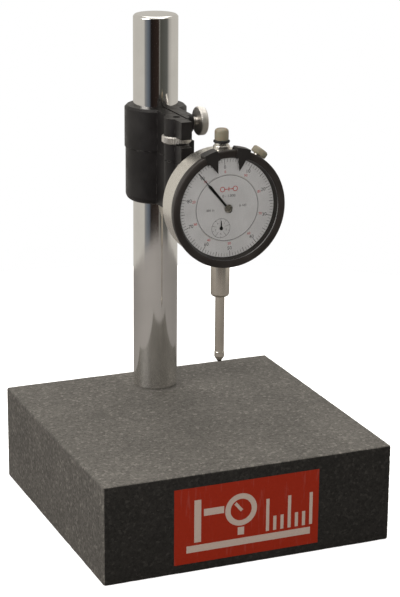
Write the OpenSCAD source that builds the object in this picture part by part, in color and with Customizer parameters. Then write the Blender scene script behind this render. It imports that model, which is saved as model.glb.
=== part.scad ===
// Granite comparator stand with a 1 inch travel dial indicator.
// Origin: centre of the block's underside. +X right, +Y to the back, +Z up.

/* [Granite block] */
// Width of the block, left to right
base_w = 152.4; // [120:0.1:260]
// Depth of the block, front to back
base_d = 152.4; // [120:0.1:260]
// Height of the block
base_h = 50.8; // [38:0.1:90]
// Arris ground along every edge of the block
base_arris = 0.8; // [0.2:0.1:3]
// Width of the label on the front face
label_w = 76.8; // [40:0.1:100]
// Height of the label
label_h = 39.2; // [20:0.1:60]
// Thickness of the label
label_t = 0.2; // [0.1:0.05:0.5]
// Label centre, right of the block's centre
label_x = -1.8; // [-20:0.1:20]
// Gap between the label's lower edge and the ground
label_z = 4.8; // [2:0.1:12]

/* [Post] */
// Diameter of the post
post_d = 23.4; // [18:0.1:30]
// Height of the post above the block
post_h = 200; // [170:1:320]
// Post axis, right of the block's centre
post_x = 1.1; // [-10:0.1:10]
// Distance from the post's axis to the block's back edge
post_back = 21.5; // [18:0.1:40]
// Chamfer at the post's top
post_chamfer = 1; // [0.3:0.1:3]
// Diameter of the bolt that holds the post from below
bolt_d = 10; // [6:0.5:12]
// Depth of the recess for the bolt's head
bolt_recess = 12; // [9:0.5:20]
// Length of thread in the post
bolt_grip = 24; // [12:1:40]

/* [Clamp collar] */
// Outer diameter of the upper ring
collar_d = 32.4; // [30:0.1:40]
// Height of the clamp collar
collar_h = 21.7; // [20:0.1:30]
// Height of the collar's lower face above the block
collar_z = 131.3; // [120:0.1:170]
// Left face of the ears, left of the post's axis
ear_left = 5.1; // [4:0.1:8]
// Reach of the left ear in front of the post's axis
ear_reach = 48.5; // [46:0.1:56]
// Left side of the clamping slit, right of the post's axis
slit_x = 0.6; // [0:0.1:1.5]
// Width of the clamping slit
slit_w = 1.1; // [0.6:0.1:2]
// Diameter of the thumbscrew's thread
thumb_d = 4.8; // [4:0.1:6]
// Diameter of the thumbscrew's knurled head
thumb_head_d = 14.9; // [10:0.1:18]
// Thickness of that head
thumb_head_t = 3.7; // [2:0.1:6]
// Thread showing between the ear and the head
thumb_neck = 3.7; // [1:0.1:8]
// Thumbscrew axis, in front of the post's axis
thumb_reach = 28.5; // [27:0.1:29]
// Thumbscrew axis, below the collar's top
thumb_drop = 4.2; // [4:0.1:5]

/* [Fine adjustment] */
// Diameter of the knurled wheel
wheel_d = 15; // [12:0.1:16]
// Thickness of the wheel
wheel_t = 3.7; // [3:0.1:5]
// Wheel axis, in front of the post's axis
wheel_reach = 34.3; // [34:0.1:36]
// Wheel axis, left of the post's axis
wheel_x = 2; // [1.8:0.1:2.4]
// Lower face of the wheel's slot, above the collar's lower face
slot_z = 8.7; // [6:0.1:9]
// Diameter of the threaded stud
stud_d = 4; // [3:0.1:4.5]
// Radius of the round pad that carries the stud
stud_pad_r = 6.4; // [5:0.1:7]
// Outer diameter of the carrier's ring
carrier_d = 31.4; // [30:0.1:40]
// Height of the carrier
carrier_h = 28.5; // [24:0.1:36]
// Seam between the carrier and the clamp collar
seam = 0.3; // [0.2:0.05:1]

/* [Indicator case] */
// Stem axis, in front of the post's axis
ind_reach = 61.8; // [61:0.1:75]
// Stem axis, right of the post's axis
ind_x = 11; // [10:0.1:14]
// Dial centre, above the block
dial_z = 113; // [105:0.1:125]
// Outer diameter of the case
case_d = 56.8; // [55:0.1:58]
// Wall of the case
case_wall = 2.8; // [2:0.1:3.2]
// Front shoulder of the case, in front of the stem axis
case_front = 6; // [5.8:0.1:7]
// Back of the case, behind the stem axis
case_back = 7.8; // [7.6:0.1:10]
// Thickness of the back cover
cover_t = 1.2; // [1:0.1:2]
// Thickness of the lug
lug_t = 6.35; // [5:0.05:8]
// Height of the lug and diameter of its round end
lug_h = 12.7; // [10:0.1:14]
// Lug hole, behind the stem axis
lug_reach = 18.8; // [18:0.1:20]
// Diameter of the lug's hole
lug_hole_d = 6.35; // [5:0.05:7]

/* [Bezel and dial] */
// Largest diameter of the bezel
bezel_d = 60; // [59:0.1:64]
// Diameter at the back of the bezel
bezel_back_d = 58.4; // [58:0.1:62]
// Depth of the bezel
bezel_h = 5.85; // [5.7:0.05:7]
// Diameter of the bezel's front opening
bezel_lip_d = 52.8; // [52:0.1:53]
// Diameter of the bezel's throat at the dial
bezel_throat_d = 50.4; // [49:0.1:51]
// Thickness of the crystal
crystal_t = 1; // [0.6:0.1:1.2]
// Front face of the dial, in front of the case's shoulder
dial_depth = 2; // [1.9:0.05:2.2]
// Thickness of the dial and of the scale ring
dial_t = 0.6; // [0.4:0.05:0.6]
// Diameter of the fixed inner dial
inner_dial_d = 34; // [28:0.5:38]
// Length of the main pointer from its axis
pointer_len = 24.85; // [20:0.05:25]
// Angle of the main pointer at rest, counter-clockwise from upright
pointer_angle = 40; // [0:1:359]
// Arbor of the turn counter, left of the dial centre
counter_x = 3.3; // [2.5:0.1:3.5]
// Arbor of the turn counter, below the dial centre
counter_z = 10.1; // [9.5:0.1:10.5]
// Length of the turn counter's hand
counter_len = 4; // [2:0.1:4.5]

/* [Limit markers and bezel lock] */
// Angle of the left marker, clockwise from upright
left_marker_angle = -20; // [-60:1:-14]
// Angle of the right marker, clockwise from upright
right_marker_angle = 13.4; // [0:0.1:60]
// Width of a marker along the rim
marker_w = 7.2; // [4:0.1:10]
// Width of a marker's point at its root
marker_point_w = 4.6; // [2:0.1:8]
// Thickness of a marker over the rim
marker_t = 1.2; // [0.8:0.1:2]
// Radius that a marker's point reaches in to
marker_tip_r = 19.8; // [15:0.1:24]
// Angle of the lock knob, clockwise from upright
lock_angle = 38; // [25:1:60]
// Diameter of the lock knob
lock_d = 8.2; // [6:0.1:8.4]
// Length of the lock knob
lock_len = 3.4; // [2:0.1:6]
// Gap between the case and the knob
lock_gap = 2.4; // [2.3:0.1:4]
// Lock knob's axis, in front of the stem axis
lock_depth = 1.7; // [0:0.1:1.8]

/* [Stem and spindle] */
// Diameter of the stem
stem_d = 9.525; // [8:0.005:10]
// Distance from the dial centre to the stem's lower end
stem_reach = 47.7; // [40:0.1:52]
// Diameter of the spindle
spindle_d = 4.76; // [4.2:0.02:5]
// Travel of the spindle
travel = 25.4; // [10:0.1:25.4]
// Distance from the dial centre to the contact's tip
tip_reach = 82.85; // [80:0.05:90]
// Diameter of the contact point
point_d = 5.1; // [4:0.1:7]
// Length of the contact point, ball included
point_len = 5.7; // [5:0.1:10]
// Diameter of the contact ball
ball_d = 3; // [2:0.1:3.6]
// Height of the top bushing above the case
bushing_h = 3.2; // [2:0.1:6]
// Diameter of the top bushing
bushing_d = 8.35; // [7:0.05:10]
// Diameter of the lift cap
cap_d = 7.1; // [6.4:0.1:9]
// Height of the lift cap
cap_h = 5.8; // [4.5:0.1:9]
// Thickness of the bumper ring
bumper_t = 1.3; // [0.8:0.1:2]

/* [Movement] */
// Teeth on the rack pinion and on the centre pinion
pinion_teeth = 12; // [12:1:12]
// Teeth on the first gear and on the take-up gear
gear_teeth = 60; // [60:1:60]
// Radius of the arbors
arbor_r = 0.6; // [0.4:0.05:0.8]
// Thickness of the movement's plates
plate_t = 1; // [0.8:0.05:1]
// Turns of the return spring
spring_turns = 16; // [8:1:20]
// Radius of the return spring's coil
spring_r = 1.25; // [1:0.05:1.6]
// Radius of the return spring's wire
spring_wire_r = 0.22; // [0.15:0.01:0.3]

/* [Fits] */
// Radial clearance of a running fit
run_gap = 0.03; // [0.01:0.01:0.1]
// Radial clearance of a fixed fit, such as a thread
seat_gap = 0.02; // [0.01:0.01:0.05]
// Clearance between faces that pass each other
pass_gap = 0.15; // [0.1:0.05:0.3]

/* [Hidden] */
$fn = 64;
eps = 0.5;

// Colours
granite_grey = [0.28, 0.27, 0.26];
label_red = [0.75, 0.16, 0.12];
chrome = [0.80, 0.80, 0.82];
steel = [0.66, 0.66, 0.66];
black_paint = [0.13, 0.12, 0.12];
satin_silver = [0.72, 0.70, 0.68];
dial_grey = [0.62, 0.61, 0.60];
brass = [0.78, 0.62, 0.30];
beige = [0.72, 0.68, 0.58];
glass = [0.85, 0.90, 0.92, 0.35];
rubber = [0.10, 0.10, 0.10];

// Post and collar
post_y = base_d / 2 - post_back;
post_r = post_d / 2;
collar_bottom = base_h + collar_z;
collar_top = collar_bottom + collar_h;
carrier_top = collar_bottom - seam;
carrier_bottom = carrier_top - carrier_h;
post_bore_r = post_r + run_gap;
ear_y = post_y - ear_reach;
thumb_y = post_y - thumb_reach;
thumb_z = collar_top - thumb_drop;
lobe_r = 5.5;
wheel_slot = wheel_t + 2 * pass_gap;
wheel_y = post_y - wheel_reach;
wheel_z = collar_bottom + slot_z + wheel_slot / 2;
stud_r = stud_d / 2;
stud_sink = 10;
stud_below_top = 1.3;

// Indicator
stem_x = post_x + ind_x;
stem_y = post_y - ind_reach;
ind_z = base_h + dial_z;
arm_right = ind_x - lug_t / 2;
lug_y = stem_y + lug_reach;
lug_screw_r = lug_hole_d / 2 - 0.05;
case_r = case_d / 2;
case_in_r = case_r - case_wall;
cover_in = -case_back + cover_t;
neck_r = case_r - 1.4;
neck_h = 1.2;
ledge_h = 1.2;
ledge_r = case_in_r - 2;
stem_r = stem_d / 2;
stem_shank_r = stem_r - 0.4;
stem_bottom = ind_z - stem_reach;
spindle_r = spindle_d / 2;
spindle_bore_r = spindle_r + run_gap;
case_top = ind_z + case_r;
bushing_top = case_top + bushing_h;
bushing_inner = ind_z + case_in_r - 1.2;
cap_bottom = bushing_top + bumper_t;
tip_z = ind_z - tip_reach;
ball_r = ball_d / 2;
point_top = tip_z + point_len;

// Depths in front of the stem axis
plate_back = case_front;
plate_front = plate_back + plate_t;
dial_front = case_front + dial_depth;
dial_back = dial_front - dial_t;
bezel_front = case_front + bezel_h;
crystal_front = bezel_front - 0.55;
crystal_back = crystal_front - crystal_t;
crystal_r = bezel_lip_d / 2 + 0.3;
counter_hand_back = dial_front + 0.5;
pointer_back = dial_front + 1.3;
pointer_t = 0.4;
gear_front = plate_back - 0.5;
gear_t = 0.6;
centre_bridge_front = plate_back - 1.9;
rack_bridge_front = -spindle_r - 0.82;

// Gear train: one turn of the pointer is a tenth of an inch of travel
rack_pitch_r = 12.7 / (2 * 3.14159265);
train_distance = sqrt(counter_x ^ 2 + counter_z ^ 2);
gear_pitch_r = train_distance * gear_teeth / (gear_teeth + pinion_teeth);
centre_pitch_r = train_distance - gear_pitch_r;
gear_angle = atan2(-counter_z, -counter_x);
take_up_angle = gear_angle + 5 * 360 / pinion_teeth;
take_up_at = train_distance * [cos(take_up_angle), sin(take_up_angle)];
counter_at = [-counter_x, -counter_z];
rack_pitch = 2 * 3.14159265 * rack_pitch_r / pinion_teeth;
rack_x = counter_at[0] + rack_pitch_r;

// Movement posts, from the dial centre
short_pillars = [[-9.5, 6], [15.5, -6.5], [-4.5, 17]];
long_pillars = [[-12.5, -3], [-11.5, -18]];
pillar_r = 1.5;
spring_x = 6.5;
spring_top = -2;
spring_bottom = -21.5;
guide_pin_z = -20;
guide_pin_r = 0.75;
hairspring_out_r = 5.2;

// ---- Shared shapes ----

// A box with its edges ground off, resting on z = 0
module arris_box(w, d, h, c) {
    intersection() {
        linear_extrude(h) cut_corner_rect(w, d, c);
        translate([0, d / 2, h / 2]) rotate([90, 0, 0])
            linear_extrude(d) cut_corner_rect(w, h, c);
        translate([-w / 2, 0, h / 2]) rotate([90, 0, 90])
            linear_extrude(w) cut_corner_rect(d, h, c);
    }
}

module cut_corner_rect(w, d, c) {
    polygon([
        [-w / 2 + c, -d / 2], [w / 2 - c, -d / 2], [w / 2, -d / 2 + c],
        [w / 2, d / 2 - c], [w / 2 - c, d / 2], [-w / 2 + c, d / 2],
        [-w / 2, d / 2 - c], [-w / 2, -d / 2 + c]
    ]);
}

// A shaft along +Z with a chamfer at its top and, if asked, at its bottom
module shaft(r, h, top_c = 0, bottom_c = 0) {
    rotate_extrude()
        polygon([[0, 0], [r - bottom_c, 0], [r, bottom_c], [r, h - top_c], [r - top_c, h], [0, h]]);
}

// Places children on the dial's axis: +Z towards the user, +Y up
module on_dial(depth = 0) {
    translate([stem_x, stem_y - depth, ind_z]) rotate([90, 0, 0]) children();
}

// A disc on the dial's axis from depth d0 to depth d1
module slab(d0, d1, r) {
    on_dial(d0) cylinder(r = r, h = d1 - d0);
}

// Places children at a point of the dial's face
module at_face(p, depth) {
    on_dial(depth) translate([p[0], p[1], 0]) children();
}

// A bar of width w from p to q, h thick
module straight_bar(p, q, w, h) {
    run = q - p;
    translate([p[0], p[1], 0]) rotate([0, 0, atan2(run[1], run[0])])
        translate([0, -w / 2, 0]) cube([norm(run), w, h]);
}

// A spur gear with slim straight-sided teeth, one of them at angle phase
module spur_gear(teeth, pitch_r, add, ded, root_w, tip_w, h, phase) {
    root_r = pitch_r - ded;
    tip_r = pitch_r + add;
    outline = [
        for (i = [0 : teeth - 1],
             s = [[-root_w, root_r], [-tip_w, tip_r], [tip_w, tip_r], [root_w, root_r]])
            let (a = phase + i * 360 / teeth)
            [s[1] * cos(a) - s[0] / 2 * sin(a), s[1] * sin(a) + s[0] / 2 * cos(a)]
    ];
    linear_extrude(h) polygon(outline);
}

// ---- Granite block and post ----

module granite_base() {
    color(granite_grey) difference() {
        arris_box(base_w, base_d, base_h, base_arris);
        translate([post_x, post_y, -eps]) cylinder(r = bolt_d / 2 + 0.5, h = base_h + 2 * eps);
        translate([post_x, post_y, -eps]) cylinder(r = bolt_d + 3, h = bolt_recess + eps);
    }
}

module base_label() {
    color(label_red) translate([label_x - label_w / 2, -base_d / 2 - label_t, label_z])
        cube([label_w, label_t, label_h]);
}

module post() {
    color(chrome) translate([post_x, post_y, base_h]) difference() {
        shaft(post_r, post_h, post_chamfer, 0.3);
        translate([0, 0, -eps]) cylinder(r = bolt_d / 2 + seat_gap, h = bolt_grip + 1 + eps);
    }
}

module post_washer() {
    color(steel) translate([post_x, post_y, bolt_recess - 2]) difference() {
        cylinder(r = bolt_d + 0.5, h = 2);
        translate([0, 0, -eps]) cylinder(r = bolt_d / 2 + 0.25, h = 2 + 2 * eps);
    }
}

module post_bolt() {
    head_t = bolt_d * 0.64;
    color(steel) translate([post_x, post_y, bolt_recess - 2]) {
        translate([0, 0, -head_t]) cylinder(r = bolt_d * 0.92, h = head_t, $fn = 6);
        cylinder(r = bolt_d / 2, h = base_h - bolt_recess + 2 + bolt_grip);
    }
}

// ---- Clamp collar ----

// The ear and stud pad that stand in front of the post, h high
module front_boss(h) {
    translate([-ear_left, ear_y, 0]) cube([ear_left + slit_x, ear_reach, h]);
    translate([-wheel_x, wheel_y, 0]) cylinder(r = stud_pad_r, h = h);
}

module clamp_collar() {
    color(black_paint) translate([post_x, 0, 0]) difference() {
        union() {
            translate([0, post_y, collar_bottom]) shaft(collar_d / 2, collar_h, 1.2);
            translate([0, 0, collar_bottom]) front_boss(collar_h);
            translate([slit_x, thumb_y, collar_bottom])
                cube([arm_right - slit_x, thumb_reach, collar_h]);
            intersection() {
                translate([slit_x, thumb_y, thumb_z]) rotate([0, 90, 0])
                    cylinder(r = lobe_r, h = arm_right - slit_x);
                translate([slit_x, thumb_y - lobe_r, collar_bottom])
                    cube([arm_right - slit_x, 2 * lobe_r, collar_h]);
            }
            translate([slit_x, thumb_y - lobe_r, collar_bottom])
                cube([arm_right - slit_x, lobe_r, slot_z]);
        }
        translate([0, post_y, collar_bottom - eps])
            cylinder(r = post_bore_r, h = collar_h + 2 * eps);
        translate([slit_x, ear_y - eps, collar_bottom - eps])
            cube([slit_w, ear_reach + eps, collar_h + 2 * eps]);
        translate([-ear_left - 10, ear_y - eps, collar_bottom + slot_z])
            cube([40, wheel_y - ear_y + wheel_d / 2 + 1 + eps, wheel_slot]);
        translate([-wheel_x, wheel_y, collar_bottom - eps])
            cylinder(r = stud_r + 0.1, h = collar_h + 2 * eps);
        translate([-ear_left + 1.4, thumb_y, thumb_z]) rotate([0, 90, 0])
            cylinder(r = thumb_d / 2 + run_gap, h = 40);
    }
}

module clamp_thumbscrew() {
    head_x = arm_right + thumb_neck;
    color(steel) translate([post_x - ear_left + 1.7, thumb_y, thumb_z]) rotate([0, 90, 0]) {
        shaft(thumb_d / 2, head_x + ear_left - 1.7, 0, 0.4);
        translate([0, 0, head_x + ear_left - 1.7])
            shaft(thumb_head_d / 2, thumb_head_t, 0.5, 0.5);
    }
}

module fine_adjust_wheel() {
    color(steel) translate([post_x - wheel_x, wheel_y, wheel_z - wheel_t / 2]) difference() {
        shaft(wheel_d / 2, wheel_t, 0.4, 0.4);
        translate([0, 0, -eps]) cylinder(r = stud_r + run_gap, h = wheel_t + 2 * eps);
    }
}

module fine_adjust_stud() {
    bottom = carrier_top - stud_sink;
    color(steel) translate([post_x - wheel_x, wheel_y, bottom])
        shaft(stud_r, collar_top - stud_below_top - bottom, 0.4, 0);
}

// ---- Indicator carrier ----

module indicator_carrier() {
    edge = 4;
    color(black_paint) translate([post_x, 0, 0]) difference() {
        union() {
            translate([0, post_y, carrier_bottom]) rotate_extrude() {
                translate([0, edge]) square([carrier_d / 2, carrier_h - edge]);
                square([carrier_d / 2 - edge, carrier_h]);
                intersection() {
                    translate([carrier_d / 2 - edge, edge]) circle(r = edge);
                    square([carrier_d / 2, edge + 1]);
                }
            }
            translate([-ear_left, ear_y, carrier_bottom + 1])
                cube([ear_left + arm_right, ear_reach, carrier_h - 1]);
            translate([-wheel_x, wheel_y, carrier_bottom + 1])
                cylinder(r = stud_pad_r, h = carrier_h - 1);
        }
        translate([0, post_y, carrier_bottom - eps])
            cylinder(r = post_bore_r, h = carrier_h + 2 * eps);
        translate([-wheel_x, wheel_y, carrier_top - stud_sink])
            cylinder(r = stud_r + seat_gap, h = stud_sink + eps);
        translate([-ear_left + 1.6, lug_y, ind_z]) rotate([0, 90, 0])
            cylinder(r = lug_screw_r + seat_gap, h = 30);
    }
}

module lug_screw() {
    grip = lug_t + 1 + arm_right + ear_left - 2;
    head_r = 5;
    color(steel) translate([post_x + arm_right + lug_t + 1 - grip, lug_y, ind_z]) rotate([0, 90, 0])
        difference() {
            union() {
                cylinder(r = lug_screw_r, h = grip);
                translate([0, 0, grip]) shaft(head_r, 4, 0.5, 0);
            }
            translate([0, 0, grip + 1.5]) cylinder(r = 2.6, h = 3, $fn = 6);
        }
}

module lug_washer() {
    color(steel) translate([post_x + arm_right + lug_t, lug_y, ind_z]) rotate([0, 90, 0]) difference() {
        cylinder(r = 5.6, h = 1);
        translate([0, 0, -eps]) cylinder(r = lug_screw_r + seat_gap, h = 1 + 2 * eps);
    }
}

// ---- Indicator case ----

// Places children at the lock knob's angle: +Y outwards along the knob's axis
module at_lock(depth = 0) {
    on_dial(depth) rotate([0, 0, -lock_angle]) children();
}

shoe_w = 6;

// The slot that the lock's shoe passes through, in the ledge and the neck
module shoe_slot() {
    at_lock(case_front - ledge_h - eps) translate([-shoe_w / 2 - 0.1, 20, 0])
        cube([shoe_w + 0.2, 12, ledge_h + neck_h + 2 * eps]);
}

cover_screw_r = 0.8;
cover_screw_at = [for (i = [0 : 3]) 45 + 90 * i];

module case_body() {
    color(satin_silver) difference() {
        union() {
            slab(cover_in, case_front, case_r);
            slab(case_front, case_front + neck_h, neck_r);
        }
        slab(cover_in - eps, case_front - ledge_h, case_in_r);
        slab(case_front - ledge_h - eps, case_front + eps, ledge_r);
        slab(case_front, case_front + neck_h + eps, case_in_r);
        // Groove for the bezel's spring
        difference() {
            slab(case_front + 0.3, case_front + 0.9, neck_r + 1);
            slab(case_front, case_front + neck_h, neck_r - 0.3);
        }
        translate([stem_x, stem_y, stem_bottom])
            cylinder(r = stem_shank_r + seat_gap, h = ind_z - stem_bottom);
        translate([stem_x, stem_y, ind_z])
            cylinder(r = bushing_d / 2 + seat_gap, h = case_r + eps);
        intersection() {
            shoe_slot();
            slab(case_front - ledge_h - eps, case_front + neck_h + eps, neck_r + 1);
        }
        at_lock(lock_depth) rotate([-90, 0, 0]) cylinder(r = 1.4, h = case_r + eps);
        for (a = cover_screw_at)
            on_dial(cover_in - eps) rotate([0, 0, a]) translate([case_r - case_wall / 2, 0, 0])
                cylinder(r = cover_screw_r + seat_gap, h = 4 + eps);
        for (a = [90, 210, 330])
            on_dial(case_front - ledge_h) rotate([0, 0, a]) translate([ledge_r + 1, 0, 0])
                cylinder(r = 0.5 + seat_gap, h = ledge_h + eps);
    }
}

module back_cover() {
    color(satin_silver) difference() {
        union() {
            slab(-case_back, cover_in, case_r - 0.2);
            translate([stem_x - lug_t / 2, stem_y + case_back - eps, ind_z - lug_h / 2])
                cube([lug_t, lug_reach - case_back + eps, lug_h]);
            translate([stem_x - lug_t / 2, lug_y, ind_z]) rotate([0, 90, 0])
                cylinder(d = lug_h, h = lug_t);
        }
        translate([stem_x - lug_t / 2 - eps, lug_y, ind_z]) rotate([0, 90, 0])
            cylinder(d = lug_hole_d, h = lug_t + 2 * eps);
        for (a = cover_screw_at)
            on_dial(-case_back - eps) rotate([0, 0, a]) translate([case_r - case_wall / 2, 0, 0])
                cylinder(r = cover_screw_r + seat_gap, h = cover_t + 2 * eps);
        at_face([spring_x, spring_bottom], cover_in - 0.6)
            cylinder(r = 0.7 + seat_gap, h = 0.6 + eps);
    }
}

module back_cover_screws() {
    color(steel) for (a = cover_screw_at)
        on_dial(-case_back - 0.7) rotate([0, 0, a]) translate([case_r - case_wall / 2, 0, 0]) {
            cylinder(r = 1.3, h = 0.7);
            cylinder(r = cover_screw_r, h = 0.7 + cover_t + 3.5);
        }
}

// ---- Stem, spindle and contact ----

module stem() {
    shoulder = ind_z - case_r - stem_bottom;
    top = ind_z - case_in_r + 0.8 - stem_bottom;
    color(satin_silver) translate([stem_x, stem_y, stem_bottom]) difference() {
        rotate_extrude() polygon([
            [0, 0], [stem_r - 1.2, 0], [stem_r - 0.4, 0.4], [stem_r, 1.2],
            [stem_r, shoulder], [stem_shank_r, shoulder], [stem_shank_r, top], [0, top]
        ]);
        translate([0, 0, -eps]) cylinder(r = spindle_r + 0.55, h = top + 2 * eps);
    }
}

module lower_bushing() {
    color(brass) translate([stem_x, stem_y, stem_bottom]) difference() {
        cylinder(r = spindle_r + 0.55 - seat_gap, h = 6);
        translate([0, 0, -eps]) cylinder(r = spindle_bore_r, h = 6 + 2 * eps);
    }
}

module upper_bushing() {
    color(satin_silver) translate([stem_x, stem_y, 0]) difference() {
        union() {
            translate([0, 0, bushing_inner])
                cylinder(r = bushing_d / 2, h = bushing_top - 1.1 - bushing_inner);
            translate([0, 0, bushing_inner])
                shaft(bushing_d / 2 - 0.7, bushing_top - bushing_inner, 0.2);
        }
        translate([0, 0, bushing_inner - eps])
            cylinder(r = spindle_bore_r, h = bushing_top - bushing_inner + 2 * eps);
    }
}

rack_low = -counter_z - travel - 3;
rack_high = -counter_z + 3;
rack_add = 0.24;
rack_ded = 0.5;
rack_flat = rack_x - rack_add;
rack_gap_w = 0.72;

module spindle() {
    teeth = floor((rack_high - rack_low) / rack_pitch) - 1;
    first = floor((-counter_z - rack_low) / rack_pitch) - 1;
    top = cap_bottom + cap_h - 2.2;
    color(chrome) translate([stem_x, stem_y, 0]) difference() {
        translate([0, 0, point_top]) shaft(spindle_r, top - point_top, 0.3, 0);
        translate([0, 0, point_top - eps]) cylinder(r = 1.25 + seat_gap, h = 5.2 + eps);
        // Flat that carries the rack
        translate([rack_flat - 5, -5, ind_z + rack_low]) cube([5, 10, rack_high - rack_low]);
        // Spaces between the rack's teeth, one of them level with the pinion
        for (i = [0 : teeth - 1])
            translate([rack_x, 5, ind_z - counter_z - (first - i) * rack_pitch]) rotate([90, 0, 0])
                linear_extrude(10) polygon([
                    [-rack_add - 0.1, -rack_gap_w / 2 - 0.09], [rack_ded, -rack_gap_w / 2 + 0.18],
                    [rack_ded, rack_gap_w / 2 - 0.18], [-rack_add - 0.1, rack_gap_w / 2 + 0.09]
                ]);
        translate([0, 0, ind_z + guide_pin_z]) rotate([-90, 0, 0])
            cylinder(r = guide_pin_r + seat_gap, h = 6);
        translate([0, 0, ind_z + spring_top]) rotate([0, 90, 0])
            cylinder(r = 0.7 + seat_gap, h = 6);
    }
}

module contact_point() {
    color(steel) translate([stem_x, stem_y, tip_z]) difference() {
        union() {
            rotate_extrude() polygon([
                [0, ball_r - 0.2], [ball_r + 0.15, ball_r - 0.2], [point_d / 2, 2.2],
                [point_d / 2, point_len - 0.3], [point_d / 2 - 0.3, point_len], [0, point_len]
            ]);
            translate([0, 0, point_len - eps]) cylinder(r = 1.25, h = 5 + eps);
        }
        translate([0, 0, ball_r]) sphere(r = ball_r + 0.005);
    }
}

module contact_ball() {
    color(rubber) translate([stem_x, stem_y, tip_z + ball_r]) sphere(r = ball_r);
}

module lift_cap() {
    r = cap_d / 2;
    edge = 1.2;
    color(beige) translate([stem_x, stem_y, cap_bottom]) difference() {
        rotate_extrude() {
            square([r, cap_h - edge]);
            square([r - edge, cap_h]);
            intersection() {
                translate([r - edge, cap_h - edge]) circle(r = edge);
                square([r, cap_h]);
            }
        }
        translate([0, 0, -eps]) cylinder(r = spindle_r + seat_gap, h = cap_h - 2 + eps);
    }
}

module bumper_ring() {
    ring_r = bushing_d / 2 - 0.05;
    color(rubber) translate([stem_x, stem_y, bushing_top]) difference() {
        rotate_extrude() {
            square([ring_r - bumper_t / 2, bumper_t]);
            translate([ring_r - bumper_t / 2, bumper_t / 2]) circle(d = bumper_t);
        }
        translate([0, 0, -eps]) cylinder(r = spindle_r + seat_gap, h = bumper_t + 2 * eps);
    }
}

module guide_pin() {
    color(steel) translate([stem_x, stem_y + 0.9, ind_z + guide_pin_z]) rotate([-90, 0, 0])
        cylinder(r = guide_pin_r, h = -cover_in - 1.7);
}

module guide_rail() {
    low = guide_pin_z - 2.5;
    high = guide_pin_z + travel + 2.5;
    rail_t = 2.2;
    color(steel) translate([stem_x, stem_y - cover_in, ind_z]) difference() {
        translate([-2.4, -rail_t, low]) cube([4.8, rail_t, high - low]);
        translate([-guide_pin_r - 0.05, -rail_t - eps, low - eps])
            cube([2 * guide_pin_r + 0.1, rail_t - 0.6 + eps, high - low + 2 * eps]);
    }
}

// ---- Return spring ----

module spring_hook() {
    color(steel) translate([stem_x + 1.0, stem_y, ind_z + spring_top]) rotate([0, 90, 0])
        cylinder(r = 0.7, h = spring_x - 1.0 + 1.2);
}

module spring_post() {
    color(steel) at_face([spring_x, spring_bottom], cover_in - 0.5)
        cylinder(r = 0.7, h = -cover_in + 2);
}

// A coil spring: rings of points swept along a helix, closed at both ends
module coil(turns, coil_r, wire_r, low, high, steps = 12, sides = 6) {
    count = turns * steps;
    function centre(i) = let (a = 360 * i / steps)
        [coil_r * cos(a), coil_r * sin(a), low + (high - low) * i / count];
    points = [
        for (i = [0 : count], j = [0 : sides - 1])
            let (a = 360 * i / steps, b = 360 * j / sides)
            centre(i) + wire_r * [cos(b) * cos(a), cos(b) * sin(a), sin(b)]
    ];
    walls = [
        for (i = [0 : count - 1], j = [0 : sides - 1])
            let (k = (j + 1) % sides)
            [i * sides + j, (i + 1) * sides + j, (i + 1) * sides + k, i * sides + k]
    ];
    start = [[for (j = [0 : sides - 1]) j]];
    end = [[for (j = [sides - 1 : -1 : 0]) count * sides + j]];
    polyhedron(points, concat(start, walls, end));
}

module return_spring() {
    color(steel) translate([stem_x + spring_x, stem_y, ind_z])
        coil(spring_turns, spring_r, spring_wire_r, spring_bottom + 1.1, spring_top - 1.1);
}

// ---- Movement ----

module arbor_hole(p, d0, d1) {
    at_face(p, d0 - eps) cylinder(r = arbor_r + run_gap, h = d1 - d0 + 2 * eps);
}

module front_plate() {
    dial_boss_r = inner_dial_d / 2 - 1;
    color(brass) difference() {
        union() {
            slab(plate_back, plate_front, case_in_r - 0.1);
            slab(plate_back, dial_back, dial_boss_r);
        }
        for (p = [[0, 0], counter_at, take_up_at]) arbor_hole(p, plate_back, dial_back);
        shoe_slot();
        for (a = [90, 210, 330])
            on_dial(plate_back - eps) rotate([0, 0, a]) translate([ledge_r + 1, 0, 0]) {
                cylinder(r = 0.5 + seat_gap, h = plate_t + 2 * eps);
                translate([0, 0, plate_t - 0.5 + eps]) cylinder(r = 0.9 + seat_gap, h = 1);
            }
        for (p = concat(short_pillars, long_pillars))
            at_face(p, plate_back) translate([0, 0, -eps]) cylinder(r = 0.6 + seat_gap, h = eps + 0.7);
    }
}

module front_plate_screws() {
    color(steel) for (a = [90, 210, 330])
        on_dial(plate_back - ledge_h + 0.2) rotate([0, 0, a]) translate([ledge_r + 1, 0, 0]) {
            cylinder(r = 0.5, h = ledge_h - 0.2 + plate_t);
            translate([0, 0, ledge_h - 0.2 + plate_t - 0.5]) cylinder(r = 0.9, h = 0.5);
        }
}

module centre_bridge() {
    back = centre_bridge_front - plate_t;
    spring_stud = take_up_at + [hairspring_out_r + 0.7, 0];
    color(brass) difference() {
        on_dial(back) {
            for (p = concat(short_pillars, [[0, 0], take_up_at]))
                translate([p[0], p[1], 0]) cylinder(r = 2.2, h = plate_t);
            straight_bar(short_pillars[0], [0, 0], 3.6, plate_t);
            straight_bar([0, 0], short_pillars[1], 3.6, plate_t);
            straight_bar([0, 0], take_up_at, 3.6, plate_t);
            straight_bar(take_up_at, short_pillars[2], 3.6, plate_t);
            straight_bar(take_up_at, spring_stud, 1, plate_t);
            translate([spring_stud[0], spring_stud[1], 0]) cylinder(r = 0.6, h = plate_t + 0.7);
        }
        for (p = [[0, 0], take_up_at]) arbor_hole(p, back, centre_bridge_front);
        for (p = short_pillars)
            at_face(p, back - eps) cylinder(r = 0.6 + seat_gap, h = plate_t + 2 * eps);
    }
}

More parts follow.
